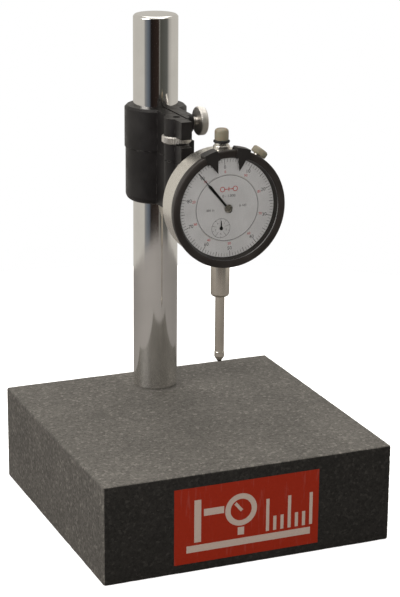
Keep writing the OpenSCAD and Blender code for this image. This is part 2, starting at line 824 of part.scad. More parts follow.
module rack_bridge() {
    back = rack_bridge_front - plate_t;
    color(brass) difference() {
        on_dial(back) {
            for (p = concat(long_pillars, [counter_at]))
                translate([p[0], p[1], 0]) cylinder(r = 2.2, h = plate_t);
            straight_bar(long_pillars[0], counter_at, 3.6, plate_t);
            straight_bar(long_pillars[1], counter_at, 3.6, plate_t);
        }
        arbor_hole(counter_at, back, rack_bridge_front);
        for (p = long_pillars)
            at_face(p, back - eps) cylinder(r = 0.6 + seat_gap, h = plate_t + 2 * eps);
    }
}

// One pillar: a post with a peg in the front plate and a threaded hole at its back
module pillar(p, back) {
    at_face(p, back) difference() {
        union() {
            cylinder(r = pillar_r, h = plate_back - back);
            cylinder(r = 0.6, h = plate_back - back + 0.6);
        }
        translate([0, 0, -eps]) cylinder(r = 0.6 + seat_gap, h = 1.2 + eps);
    }
}

module pillars() {
    color(brass) {
        for (p = short_pillars) pillar(p, centre_bridge_front);
        for (p = long_pillars) pillar(p, rack_bridge_front);
    }
}

module bridge_screw(p, bridge_front) {
    at_face(p, bridge_front - plate_t - 0.6) {
        cylinder(r = 1.1, h = 0.6);
        cylinder(r = 0.6, h = 0.6 + plate_t + 1);
    }
}

module bridge_screws() {
    color(steel) {
        for (p = short_pillars) bridge_screw(p, centre_bridge_front);
        for (p = long_pillars) bridge_screw(p, rack_bridge_front);
    }
}

module rack_arbor() {
    back = rack_bridge_front - plate_t + 0.2;
    color(steel) {
        at_face(counter_at, back) cylinder(r = arbor_r, h = counter_hand_back + 0.3 - back);
        at_face(counter_at, -1.6)
            spur_gear(pinion_teeth, rack_pitch_r, 0.24, 0.5, 0.44, 0.22, 3.2, 0);
    }
}

module first_gear() {
    color(brass) difference() {
        at_face(counter_at, gear_front - gear_t)
            spur_gear(gear_teeth, gear_pitch_r, 0.2, 0.34, 0.36, 0.16, gear_t,
                gear_angle + 180 + 180 / gear_teeth);
        at_face(counter_at, gear_front - gear_t - eps)
            cylinder(r = arbor_r + seat_gap, h = gear_t + 2 * eps);
    }
}

module counter_hand() {
    color("black") at_face(counter_at, counter_hand_back) difference() {
        union() {
            cylinder(r = 0.9, h = 0.3);
            linear_extrude(0.3) polygon([[-0.45, 0], [0.45, 0], [0.12, counter_len], [-0.12, counter_len]]);
        }
        translate([0, 0, -eps]) cylinder(r = arbor_r + seat_gap, h = 0.3 + 2 * eps);
    }
}

module centre_arbor() {
    back = centre_bridge_front - plate_t + 0.2;
    color(steel) {
        on_dial(back) cylinder(r = arbor_r, h = pointer_back + pointer_t - back);
        on_dial(gear_front - gear_t - 0.3)
            spur_gear(pinion_teeth, centre_pitch_r, 0.2, 0.34, 0.34, 0.16, gear_t + 0.6, gear_angle);
    }
}

module main_pointer() {
    thick_len = pointer_len * 0.68;
    tail_len = 2.4;
    color("black") on_dial(pointer_back) rotate([0, 0, pointer_angle]) difference() {
        union() {
            cylinder(r = 1.9, h = pointer_t);
            linear_extrude(pointer_t) polygon([
                [-0.75, -tail_len], [0.75, -tail_len], [0.5, 0], [0.72, thick_len - 1.5],
                [0.18, thick_len], [0.13, pointer_len], [-0.13, pointer_len],
                [-0.18, thick_len], [-0.72, thick_len - 1.5], [-0.5, 0]
            ]);
        }
        translate([0, 0, -eps]) cylinder(r = arbor_r + seat_gap, h = pointer_t + 2 * eps);
    }
}

module pointer_hub() {
    color(brass) on_dial(pointer_back + pointer_t) shaft(2.1, 0.4, 0.15);
}

module take_up_arbor() {
    back = centre_bridge_front - plate_t + 0.2;
    color(steel) {
        at_face(take_up_at, back) cylinder(r = arbor_r, h = plate_front - 0.2 - back);
        at_face(take_up_at, centre_bridge_front + 0.15) cylinder(r = 1, h = 0.5);
    }
}

module take_up_gear() {
    color(brass) difference() {
        at_face(take_up_at, gear_front - gear_t)
            spur_gear(gear_teeth, gear_pitch_r, 0.2, 0.34, 0.36, 0.16, gear_t,
                take_up_angle + 180 + 180 / gear_teeth);
        at_face(take_up_at, gear_front - gear_t - eps)
            cylinder(r = arbor_r + seat_gap, h = gear_t + 2 * eps);
    }
}

module hairspring() {
    turns = 5;
    steps = 20;
    strip = 0.12;
    inner_r = 1.2;
    function radius(i) = inner_r + (hairspring_out_r - inner_r) * i / (turns * steps);
    inner_edge = [for (i = [0 : turns * steps])
        radius(i) * [cos(360 * i / steps), sin(360 * i / steps)]];
    outer_edge = [for (i = [turns * steps : -1 : 0])
        (radius(i) + strip) * [cos(360 * i / steps), sin(360 * i / steps)]];
    color(brass) at_face(take_up_at, centre_bridge_front + 0.15)
        linear_extrude(0.45) polygon(concat(inner_edge, outer_edge));
}

module dial_disc() {
    color(dial_grey) difference() {
        slab(dial_back, dial_front, inner_dial_d / 2);
        slab(dial_back - eps, dial_front + eps, arbor_r + 0.6);
        at_face(counter_at, dial_back - eps) cylinder(r = arbor_r + 0.3, h = dial_t + 2 * eps);
    }
}

module scale_ring() {
    color(dial_grey) difference() {
        slab(dial_back, dial_front, neck_r - 1.05);
        slab(dial_back - eps, dial_front + eps, inner_dial_d / 2 + pass_gap);
    }
}

// ---- Bezel ----

module bezel() {
    throat = bezel_throat_d / 2;
    lip = bezel_lip_d / 2;
    seat = neck_r - 1;
    back_r = bezel_back_d / 2;
    rim_r = bezel_d / 2;
    bore = neck_r + run_gap + 0.03;
    color(black_paint) on_dial(case_front) rotate_extrude($fn = 128) polygon([
        [back_r, pass_gap], [rim_r, 3.7], [rim_r, bezel_h - 0.45], [rim_r - 0.4, bezel_h],
        [lip + 0.4, bezel_h], [lip, bezel_h - 0.35], [lip, bezel_h - 0.52],
        [crystal_r + seat_gap, bezel_h - 0.52],
        [crystal_r + seat_gap, bezel_h - 0.58 - crystal_t],
        [lip - 0.4, bezel_h - 0.58 - crystal_t], [throat, dial_depth],
        [seat, dial_depth], [seat, neck_h + pass_gap],
        [bore, neck_h + pass_gap], [bore, 0.9], [bore + 0.3, 0.9], [bore + 0.3, 0.3],
        [bore, 0.3], [bore, pass_gap]
    ]);
}

module bezel_spring() {
    wire_r = 0.25;
    gap = 36;
    color(steel) on_dial(case_front + 0.6) rotate([0, 0, 90 - lock_angle + gap / 2])
        rotate_extrude(angle = 360 - gap) translate([neck_r + 0.03, 0]) circle(r = wire_r);
}

module crystal() {
    color(glass) slab(crystal_back, crystal_front, crystal_r);
}

// A limit marker: a clip over the bezel's rim with a point over the crystal
module limit_marker(angle) {
    rim_r = bezel_d / 2;
    outer_r = rim_r + 0.1 + marker_t;
    flange_t = 0.5;
    face = bezel_front + 0.06;
    leaf_back = case_front - 0.5;
    on_dial(0) rotate([0, 0, -angle]) {
        intersection() {
            union() {
                // Band round the rim
                translate([0, 0, case_front + 0.2]) difference() {
                    cylinder(r = outer_r, h = face + flange_t - case_front - 0.2);
                    translate([0, 0, -eps]) cylinder(r = rim_r + 0.06, h = face - case_front - 0.2 + eps);
                }
                // Leaf that hooks behind the rim
                translate([0, 0, leaf_back]) difference() {
                    cylinder(r = rim_r + 0.6, h = case_front + 0.2 - leaf_back);
                    translate([0, 0, 0.4]) cylinder(r = rim_r + 0.06, h = 5);
                    translate([0, 0, -eps]) cylinder(r = case_r + 0.5, h = 5);
                }
            }
            union() {
                translate([-marker_w / 2, bezel_lip_d / 2 - 0.4, 0]) cube([marker_w, 12, 20]);
                translate([0, 0, face]) linear_extrude(flange_t)
                    polygon([
                        [0, marker_tip_r],
                        [marker_point_w / 2, bezel_lip_d / 2],
                        [-marker_point_w / 2, bezel_lip_d / 2]
                    ]);
            }
        }
    }
}

module left_limit_marker() { color(rubber) limit_marker(left_marker_angle); }

module right_limit_marker() { color(rubber) limit_marker(right_marker_angle); }

// ---- Bezel lock ----

module bezel_lock_knob() {
    color(beige) at_lock(lock_depth) rotate([-90, 0, 0]) translate([0, 0, case_r + lock_gap])
        difference() {
            shaft(lock_d / 2, lock_len, 0.6, 0.2);
            translate([0, 0, -eps]) cylinder(r = 1.3 + seat_gap, h = lock_len - 1 + eps);
        }
}

module bezel_lock_screw() {
    inner = case_in_r - 1.9;
    color(steel) at_lock(lock_depth) rotate([-90, 0, 0]) {
        translate([0, 0, inner]) cylinder(r = 1.3, h = case_r + lock_gap + lock_len - 1.1 - inner);
        translate([0, 0, case_r + pass_gap]) cylinder(r = 2.2, h = lock_gap - pass_gap);
    }
}

module bezel_lock_shoe() {
    lip_back = case_front - ledge_h;
    color(steel) at_lock(0) difference() {
        union() {
            translate([-shoe_w / 2, case_in_r - 2.2, lock_depth - 2.6])
                cube([shoe_w, 1.9, lip_back - lock_depth + 2.6]);
            translate([-shoe_w / 2, case_in_r - 2.2, lip_back])
                cube([shoe_w, neck_r - case_in_r + 2, case_front + neck_h - 0.1 - lip_back]);
        }
        translate([0, 0, lock_depth]) rotate([-90, 0, 0]) cylinder(r = 1.3 + run_gap, h = 40);
    }
}

granite_base();
base_label();
post();
post_bolt();
post_washer();
clamp_collar();
clamp_thumbscrew();
fine_adjust_wheel();
fine_adjust_stud();
indicator_carrier();
lug_screw();
lug_washer();
case_body();
back_cover();
back_cover_screws();
stem();
lower_bushing();
upper_bushing();
spindle();
contact_point();
contact_ball();
lift_cap();
bumper_ring();
guide_pin();
guide_rail();
spring_hook();
spring_post();
return_spring();
front_plate();
front_plate_screws();
centre_bridge();
rack_bridge();
pillars();
bridge_screws();
rack_arbor();
first_gear();
counter_hand();
centre_arbor();
main_pointer();
pointer_hub();
take_up_arbor();
take_up_gear();
hairspring();
dial_disc();
scale_ring();
bezel();
bezel_spring();
crystal();
left_limit_marker();
right_limit_marker();
bezel_lock_knob();
bezel_lock_screw();
bezel_lock_shoe();
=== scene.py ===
"""A granite comparator stand with a dial indicator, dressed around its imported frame.

Sizes are in millimetres on the stand's own axes and become metres when a piece is seated.
"""

from __future__ import annotations

import logging
import math
from dataclasses import dataclass, field
from enum import Enum
from typing import Optional, Sequence

import bmesh
import bpy
from mathutils import Matrix, Vector, noise


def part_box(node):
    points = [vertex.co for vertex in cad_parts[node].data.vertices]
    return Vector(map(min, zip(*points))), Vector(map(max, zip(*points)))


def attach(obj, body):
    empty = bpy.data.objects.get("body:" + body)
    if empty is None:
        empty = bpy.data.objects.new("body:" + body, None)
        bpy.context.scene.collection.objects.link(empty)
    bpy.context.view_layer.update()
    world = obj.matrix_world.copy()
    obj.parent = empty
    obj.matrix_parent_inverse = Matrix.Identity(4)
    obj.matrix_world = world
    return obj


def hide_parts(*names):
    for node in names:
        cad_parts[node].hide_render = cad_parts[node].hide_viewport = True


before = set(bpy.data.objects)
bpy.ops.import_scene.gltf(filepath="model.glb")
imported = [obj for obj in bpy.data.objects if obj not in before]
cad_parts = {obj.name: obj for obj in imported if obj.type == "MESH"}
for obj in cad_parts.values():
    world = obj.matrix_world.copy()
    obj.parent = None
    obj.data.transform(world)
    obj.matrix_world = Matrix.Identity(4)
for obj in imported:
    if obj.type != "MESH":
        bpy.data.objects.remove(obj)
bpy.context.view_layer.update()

MM = 0.001
FULL_TURN = 2.0 * math.pi
HERE = Matrix.Identity(4)
FIGURE_SHARE = 0.69  # a figure's height over its type size
LOG = logging.getLogger("stand")

Colour = tuple[float, float, float]
Socket = bpy.types.NodeSocket
Piece = bpy.types.Object
Outline = Sequence[Sequence[float]]


# ---- Where things are ----


@dataclass(frozen=True)
class Extent:
    """The lowest and highest corners of a part, in millimetres."""

    low: Vector
    high: Vector

    @classmethod
    def of(cls, node: str) -> "Extent":
        """Reads a part's corners from the frame.

        Args:
            node: The part's name.

        Returns:
            Its extent.
        """
        low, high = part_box(node)
        return cls(Vector(low) / MM, Vector(high) / MM)

    @property
    def centre(self) -> Vector:
        """The middle of the box."""
        return (self.low + self.high) / 2

    @property
    def size(self) -> Vector:
        """Width, depth and height."""
        return self.high - self.low


class Facing(Enum):
    """Which way a shape's own +Z looks once it is seated."""

    UP = 0
    FRONT = 1
    RIGHT = 2

    def turn(self) -> Matrix:
        """Gives the rotation that faces a shape this way.

        Returns:
            The rotation.
        """
        if self is Facing.FRONT:
            return Matrix.Rotation(math.pi / 2, 4, "X")
        if self is Facing.RIGHT:
            return Matrix.Rotation(math.pi / 2, 4, "Y")
        return HERE


def seat(at: Sequence[float], facing: Facing = Facing.UP, spin: float = 0.0) -> Matrix:
    """Makes the transform that seats a shape on the stand.

    Args:
        at: The shape's origin, in millimetres.
        facing: Where its +Z looks.
        spin: Degrees about its own +Z, counter-clockwise.

    Returns:
        The transform, still in millimetres.
    """
    return Matrix.Translation(Vector(at)) @ facing.turn() @ Matrix.Rotation(math.radians(spin), 4, "Z")


# ---- Finishes ----


def tint(red: float, green: float, blue: float) -> Colour:
    """Turns a 0-255 display colour into the linear colour a shader takes.

    Args:
        red: Its red.
        green: Its green.
        blue: Its blue.

    Returns:
        The linear colour.
    """

    def one(value: float) -> float:
        """Linearises one channel."""
        share = value / 255
        return share / 12.92 if share <= 0.04045 else ((share + 0.055) / 1.055) ** 2.4

    return one(red), one(green), one(blue)


class NodeSketch:
    """A node tree, built up one node at a time."""

    def __init__(self, owner: bpy.types.ID, output: str, space: str) -> None:
        """Starts an empty tree with its output.

        Args:
            owner: The material or world that the tree belongs to.
            output: The output node's type name.
            space: The coordinates that patterns lie on.
        """
        owner.use_nodes = True
        self.tree = owner.node_tree
        self.tree.nodes.clear()
        self.output = self.add(output)
        self.place: Socket = self.add("ShaderNodeTexCoord").outputs[space]

    def add(self, kind: str, **settings: object) -> bpy.types.Node:
        """Adds a node.

        Args:
            kind: The node's type name.
            settings: Properties to set on it.

        Returns:
            The node.
        """
        node = self.tree.nodes.new(kind)
        for key, value in settings.items():
            setattr(node, key, value)
        return node

    def join(self, source: Socket, target: Socket) -> None:
        """Links an output to an input."""
        self.tree.links.new(source, target)

    def feed(self, target: Socket, value: object) -> None:
        """Sets an input to a value, or links it.

        Args:
            target: The input.
            value: A number, a colour or an output.
        """
        if isinstance(value, bpy.types.NodeSocket):
            self.join(value, target)
        elif isinstance(value, (tuple, list)) and len(target.default_value) == 4:
            target.default_value = (*value[:3], 1.0)
        else:
            target.default_value = value

    def stretched(self, scale: Sequence[float]) -> Socket:
        """Scales the piece's coordinates along each axis.

        Args:
            scale: The three factors.

        Returns:
            The scaled coordinates.
        """
        mapping = self.add("ShaderNodeMapping")
        mapping.inputs["Scale"].default_value = scale
        self.join(self.place, mapping.inputs["Vector"])
        return mapping.outputs["Vector"]

    def cloud(self, scale: float, detail: float = 3.0, at: Optional[Socket] = None) -> Socket:
        """Adds soft noise.

        Args:
            scale: Repeats per metre.
            detail: Octaves.
            at: Coordinates, the piece's own if left out.

        Returns:
            A value around one half.
        """
        node = self.add("ShaderNodeTexNoise")
        node.inputs["Scale"].default_value = scale
        node.inputs["Detail"].default_value = detail
        self.join(at or self.place, node.inputs["Vector"])
        return node.outputs["Fac"]

    def grains(self, scale: float, at: Optional[Socket] = None) -> tuple[Socket, Socket]:
        """Adds cells, each with its own random value.

        Args:
            scale: Cells per metre.
            at: Coordinates, the piece's own if left out.

        Returns:
            The random value of each cell, and the distance from its middle.
        """
        node = self.add("ShaderNodeTexVoronoi")
        node.inputs["Scale"].default_value = scale
        self.join(at or self.place, node.inputs["Vector"])
        split = self.add("ShaderNodeSeparateColor")
        self.join(node.outputs["Color"], split.inputs["Color"])
        return split.outputs[0], node.outputs["Distance"]

    def ramp(self, source: Socket, stops: Sequence[tuple[float, Colour]]) -> Socket:
        """Maps a value to colours.

        Args:
            source: The value.
            stops: Positions and their linear colours.

        Returns:
            The colour.
        """
        node = self.add("ShaderNodeValToRGB")
        band = node.color_ramp
        while len(band.elements) < len(stops):
            band.elements.new(0.5)
        for element, (position, colour) in zip(band.elements, stops):
            element.position = position
            element.color = (*colour, 1.0)
        self.join(source, node.inputs["Fac"])
        return node.outputs["Color"]

    def level(self, source: Socket, low: float, high: float, at: tuple[float, float] = (0.0, 1.0)) -> Socket:
        """Maps a value's range onto another, clamped.

        Args:
            source: The value.
            low: Result at the start of the range.
            high: Result at its end.
            at: The range.

        Returns:
            The mapped value.
        """
        node = self.add("ShaderNodeMapRange")
        for slot, value in zip(("From Min", "From Max", "To Min", "To Max"), (*at, low, high)):
            node.inputs[slot].default_value = value
        self.join(source, node.inputs["Value"])
        return node.outputs["Result"]

    def around(self, value: float, pattern: Socket, low: float, high: float) -> Socket:
        """Varies a number with the middle of a noise's range.

        Args:
            value: The number.
            pattern: The noise.
            low: Share of the number where the noise is low.
            high: Share of the number where it is high.

        Returns:
            The varied number.
        """
        return self.level(pattern, value * low, value * high, (0.3, 0.7))

    def maths(self, operation: str, first: object, second: object = 0.0) -> Socket:
        """Adds a sum of two values.

        Args:
            operation: The operation's name.
            first: A number or socket.
            second: A number or socket.

        Returns:
            The result.
        """
        node = self.add("ShaderNodeMath", operation=operation)
        self.feed(node.inputs[0], first)
        self.feed(node.inputs[1], second)
        return node.outputs["Value"]

    def blend(self, share: object, first: object, second: object, mode: str = "MIX") -> Socket:
        """Mixes two colours.

        Args:
            share: How much of the second.
            first: A colour or socket.
            second: A colour or socket.
            mode: The way they mix.

        Returns:
            The mixed colour.
        """
        node = self.add("ShaderNodeMix", data_type="RGBA", blend_type=mode)
        self.feed(node.inputs[0], share)
        self.feed(node.inputs[6], first)
        self.feed(node.inputs[7], second)
        return node.outputs[2]

    def mix_out(self, share: Socket, first: Socket, second: Socket) -> None:
        """Sends a mix of two shaders to the output.

        Args:
            share: How much of the second.
            first: A shader.
            second: A shader.
        """
        mix = self.add("ShaderNodeMixShader")
        for target, source in zip(mix.inputs, (share, first, second)):
            self.join(source, target)
        self.join(mix.outputs["Shader"], self.output.inputs["Surface"])

    def camera_sees(self) -> Socket:
        """Is 1 for what the camera sees directly, and 0 for reflections and bounced light."""
        return self.add("ShaderNodeLightPath").outputs["Is Camera Ray"]


class Coat(NodeSketch):
    """A material's node tree around one surface shader."""

    def __init__(self, name: str) -> None:
        """Starts a material.

        Args:
            name: The material's name.
        """
        self.material = bpy.data.materials.new(name)
        super().__init__(self.material, "ShaderNodeOutputMaterial", "Object")
        self.shader = self.add("ShaderNodeBsdfPrincipled")
        self.join(self.shader.outputs["BSDF"], self.output.inputs["Surface"])

    def set(self, **inputs: object) -> None:
        """Feeds the shader's inputs, named with underscores for spaces."""
        for key, value in inputs.items():
            self.feed(self.shader.inputs[key.replace("_", " ")], value)

    def relief(self, height: Socket, depth: float, strength: float = 1.0) -> None:
        """Bumps the surface.

        Args:
            height: The height, from 0 to 1.
            depth: What 1 stands for, in millimetres.
            strength: Share of the effect.
        """
        node = self.add("ShaderNodeBump")
        node.inputs["Strength"].default_value = strength
        node.inputs["Distance"].default_value = depth * MM
        self.join(height, node.inputs["Height"])
        self.join(node.outputs["Normal"], self.shader.inputs["Normal"])

    def worn_edges(self, radius: float) -> Socket:
        """Finds outer edges.

        Args:
            radius: How far from an edge the wear reaches, in millimetres.

        Returns:
            About 0 on flats, rising at edges.
        """
        rounded = self.add("ShaderNodeBevel", samples=4)
        rounded.inputs["Radius"].default_value = radius * MM
        dot = self.add("ShaderNodeVectorMath", operation="DOT_PRODUCT")
        self.join(rounded.outputs["Normal"], dot.inputs[0])
        self.join(self.add("ShaderNodeNewGeometry").outputs["True Normal"], dot.inputs[1])
        return self.level(dot.outputs["Value"], 1.0, 0.0, (0.8, 0.99))


@dataclass(frozen=True)
class Finish:
    """A named finish, made into a material the first time it is asked for."""

    name: str

    def paint(self, sketch: Coat) -> None:
        """Draws the finish's nodes.

        Args:
            sketch: The coat to paint.
        """
        raise NotImplementedError

    def material(self) -> bpy.types.Material:
        """Looks the finish's material up, or makes it.

        Returns:
            The material.
        """
        name = f"{self.name}_finish"
        known = bpy.data.materials.get(name)
        if known:
            return known
        sketch = Coat(name)
        self.paint(sketch)
        return sketch.material


@dataclass(frozen=True)
class Granite(Finish):
    """Fine-grained dark granite, as lapped or ground, and as a far darker copy whose colour paints the shade
    on the block's front face.
    """

    shade: float
    contrast: float
    gloss: float
    tooth: float

    def paint(self, sketch: Coat) -> None:
        """Draws crystals of three sizes, clouding and the face's tooth.

        Args:
            sketch: The coat to paint.
        """
        wander = sketch.add("ShaderNodeTexNoise")
        wander.inputs["Scale"].default_value = 900
        sketch.join(sketch.place, wander.inputs["Vector"])
        shift = sketch.add("ShaderNodeVectorMath", operation="MULTIPLY_ADD")
        sketch.join(wander.outputs["Color"], shift.inputs[0])
        shift.inputs[1].default_value = (0.0012,) * 3
        sketch.join(sketch.place, shift.inputs[2])
        coarse, middle = sketch.grains(820, shift.outputs["Vector"])
        fine, _ = sketch.grains(2300, shift.outputs["Vector"])
        low, high = 1 - self.contrast, 1 + self.contrast

        def grey(level: float) -> Colour:
            """A warm grey at some level of the stone's shade."""
            return self.shade * level * 1.07, self.shade * level, self.shade * level * 0.9

        stone = sketch.ramp(coarse, [
            (0.0, grey(low * 0.8)), (0.25, grey(low)), (0.55, grey(1.0)),
            (0.86, grey(1.05)), (0.93, grey(high * 1.25)), (1.0, grey(high * 1.9)),
        ])
        flecks = sketch.ramp(fine, [
            (0.0, grey(low * 0.7)), (0.3, grey(0.95)), (0.8, grey(1.05)), (1.0, grey(high * 1.5)),
        ])
        mixed = sketch.blend(0.5, stone, flecks)
        clouding = sketch.level(sketch.cloud(28, 4), 0.86, 1.14, (0.3, 0.7))
        sketch.set(
            Base_Color=sketch.blend(1.0, mixed, clouding, "MULTIPLY"),
            Roughness=sketch.level(coarse, self.gloss + 0.12, self.gloss - 0.05),
            Specular_IOR_Level=0.3,
        )
        sketch.relief(sketch.blend(0.5, middle, sketch.cloud(3200, 4)), self.tooth, 0.5)


@dataclass(frozen=True)
class Metal(Finish):
    """Bare or plated metal with fine machining marks."""

    colour: Colour
    roughness: float
    marks: float = 0.004
    grain: tuple[float, float, float] = (900.0, 900.0, 12000.0)
    stain: float = 0.06

    def paint(self, sketch: Coat) -> None:
        """Draws drawn-out marks in the gloss and height, and a faint staining.

        Args:
            sketch: The coat to paint.
        """
        marks = sketch.cloud(1.0, 3, sketch.stretched(self.grain))
        smear = sketch.cloud(60, 4)
        dull = tuple(value * (1 - 3 * self.stain) for value in self.colour)
        sketch.set(
            Base_Color=sketch.blend(sketch.level(smear, 0.0, 1.0, (0.35, 0.75)), self.colour, dull),
            Metallic=1.0,
            Roughness=sketch.maths(
                "ADD",
                sketch.around(self.roughness, marks, 0.75, 1.25),
                sketch.level(smear, 0.0, self.stain * 0.6, (0.45, 0.8)),
            ),
        )
        sketch.relief(marks, self.marks, 0.6)


@dataclass(frozen=True)
class Paint(Finish):
    """Enamel on a casting, rubbed thin along its edges."""

    colour: Colour
    roughness: float
    skin: float = 0.05
    bare: Colour = (0.2, 0.19, 0.18)

    def paint(self, sketch: Coat) -> None:
        """Draws the orange-peel skin, dusty patches and edge wear.

        Args:
            sketch: The coat to paint.
        """
        peel = sketch.cloud(700, 3)
        dust = sketch.level(sketch.cloud(55, 5), 0.0, 1.0, (0.45, 0.75))
        dusty = tuple(value * 1.5 + 0.006 for value in self.colour)
        patchy = sketch.level(sketch.cloud(420, 5), 0.0, 0.7, (0.48, 0.62))
        rubbed = sketch.maths("MULTIPLY", sketch.worn_edges(0.35), patchy)
        sketch.set(
            Base_Color=sketch.blend(rubbed, sketch.blend(dust, self.colour, dusty), self.bare),
            Roughness=sketch.around(self.roughness, sketch.cloud(260, 4), 0.8, 1.25),
            Specular_IOR_Level=0.3,
        )
        sketch.relief(peel, self.skin, 0.5)


@dataclass(frozen=True)
class Moulded(Finish):
    """Moulded plastic or rubber with a fine surface texture."""

    colour: Colour
    roughness: float
    texture: float = 0.01
    glow: float = 0.0

    def paint(self, sketch: Coat) -> None:
        """Draws a fine texture, soft colour drift and handling marks.

        Args:
            sketch: The coat to paint.
        """
        drift = sketch.level(sketch.cloud(220, 3), 0.9, 1.1, (0.3, 0.7))
        sketch.set(
            Base_Color=sketch.blend(1.0, self.colour, drift, "MULTIPLY"),
            Roughness=sketch.around(self.roughness, sketch.cloud(900, 3), 0.85, 1.15),
            Subsurface_Weight=self.glow,
            IOR=1.48,
        )
        sketch.shader.inputs["Subsurface Scale"].default_value = 0.0008
        sketch.relief(sketch.cloud(4200, 2), self.texture, 0.5)


@dataclass(frozen=True)
class DialLacquer(Finish):
    """A dial's silvered face under clear lacquer."""

    colour: Colour

    def paint(self, sketch: Coat) -> None:
        """Draws a faint vertical brushing and a little patina.

        Args:
            sketch: The coat to paint.
        """
        brushed = sketch.cloud(1.0, 3, sketch.stretched((9000.0, 900.0, 260.0)))
        patina = sketch.level(sketch.cloud(90, 4), 0.93, 1.05, (0.3, 0.7))
        sketch.set(
            Base_Color=sketch.blend(1.0, sketch.blend(1.0, self.colour, patina, "MULTIPLY"),
                                    sketch.level(brushed, 0.95, 1.05, (0.3, 0.7)), "MULTIPLY"),
            Metallic=0.1,
            Roughness=sketch.level(brushed, 0.38, 0.5, (0.3, 0.7)),
            Coat_Weight=0.25,
        )
        sketch.shader.inputs["Coat Roughness"].default_value = 0.15
        sketch.relief(brushed, 0.002, 0.5)


@dataclass(frozen=True)
class Printed(Finish):
    """Printing ink or film, slightly uneven in cover."""

    colour: Colour
    roughness: float = 0.5
    thin: float = 0.12

    def paint(self, sketch: Coat) -> None:
        """Draws the uneven cover, small scuffs and a fine skin.

        Args:
            sketch: The coat to paint.
        """
        cover = sketch.level(sketch.cloud(1500, 4), 1 - self.thin, 1 + self.thin, (0.3, 0.7))
        streaks = sketch.cloud(1.0, 4, sketch.stretched((700.0, 700.0, 90.0)))
        scuffs = sketch.level(streaks, 0.0, 0.12, (0.58, 0.75))
        worn = tuple(value * 0.6 + 0.18 for value in self.colour)
        sketch.set(
            Base_Color=sketch.blend(scuffs, sketch.blend(1.0, self.colour, cover, "MULTIPLY"), worn),
            Roughness=sketch.around(self.roughness, sketch.cloud(500, 3), 0.85, 1.2),
            Specular_IOR_Level=0.2,
        )
        sketch.relief(sketch.cloud(2600, 2), 0.004, 0.4)


@dataclass(frozen=True)
class ClearCrystal(Finish):
    """A clear flat crystal: seen through, with a soft shine and a few fine hairlines."""

    def paint(self, sketch: Coat) -> None:
        """Mixes a clear pass-through with a gloss that grows towards grazing.

        Args:
            sketch: The coat to paint.
        """
        sketch.tree.nodes.remove(sketch.shader)
        hairlines = sketch.cloud(1.0, 2, sketch.stretched((60.0, 2000.0, 5200.0)))
        fresnel = sketch.add("ShaderNodeFresnel")
        fresnel.inputs["IOR"].default_value = 1.49
        gloss = sketch.add("ShaderNodeBsdfGlossy")
        sketch.feed(gloss.inputs["Roughness"], sketch.level(hairlines, 0.05, 0.12, (0.5, 0.8)))
        sketch.mix_out(
            sketch.maths("MULTIPLY", fresnel.outputs["Fac"], 0.9),
            sketch.add("ShaderNodeBsdfTransparent").outputs["BSDF"],
            gloss.outputs["BSDF"],
        )


LAPPED = Granite("granite_lapped", shade=0.092, contrast=0.28, gloss=0.6, tooth=0.03)
GROUND = Granite("granite_ground", shade=0.085, contrast=0.35, gloss=0.55, tooth=0.05)
# The front face's copy of the stone is far darker than the rest: painted shade, not a different stone or
# finish.
FRONT_SHADE_GRANITE = Granite("granite_front_painted_shade", shade=0.013, contrast=0.45, gloss=0.5, tooth=0.02)
CHROME = Metal("chrome", (0.86, 0.85, 0.83), 0.09, 0.0015, (400.0, 400.0, 6000.0), 0.03)
STEEL = Metal("bright_steel", (0.66, 0.63, 0.59), 0.24, 0.004)
GRIP = Metal("rolled_steel", (0.8, 0.77, 0.73), 0.4, 0.003)
COVER = Metal("satin_cover", (0.84, 0.81, 0.75), 0.32, 0.0012, (2600.0, 2600.0, 2600.0), 0.02)
SATIN = Metal("satin_silver", (0.88, 0.85, 0.79), 0.3, 0.004, (700.0, 9000.0, 700.0), 0.03)
NICKEL = Metal("satin_nickel", (0.76, 0.71, 0.63), 0.13, 0.002)
BRASS = Metal("brass", (0.62, 0.45, 0.2), 0.3, 0.003)
HUB = Metal("hub_nickel", (0.55, 0.52, 0.45), 0.28, 0.003)
ENAMEL = Paint("black_enamel", tint(22, 20, 20), 0.38)
BLACKENED = Paint("blackened_bezel", tint(36, 32, 30), 0.36, 0.01, (0.12, 0.11, 0.1))
DIAL = DialLacquer("dial_silver", tint(213, 212, 212))
BLACK_INK = Printed("black_ink", tint(62, 60, 60))
RED_INK = Printed("red_ink", tint(190, 40, 34))
POINTER_BLACK = Printed("pointer_black", tint(14, 14, 14), 0.45)
RED_FILM = Printed("label_red", tint(134, 33, 14), 0.5, 0.05)
PALE_PRINT = Printed("label_pale", tint(168, 152, 142), 0.45, 0.04)
BEIGE = Moulded("beige_plastic", tint(122, 115, 98), 0.42, 0.01, 0.12)
BLACK_PLASTIC = Moulded("black_plastic", tint(30, 28, 27), 0.45)
RUBBER = Moulded("black_rubber", tint(26, 25, 24), 0.6, 0.02)
CARBIDE = Metal("dark_carbide", (0.16, 0.15, 0.14), 0.3, 0.002)
CRYSTAL = ClearCrystal("clear_crystal")


# ---- Shaping ----


class Knurl(Enum):
    """How a grip is knurled."""

    STRAIGHT = "straight"
    DIAMOND = "diamond"


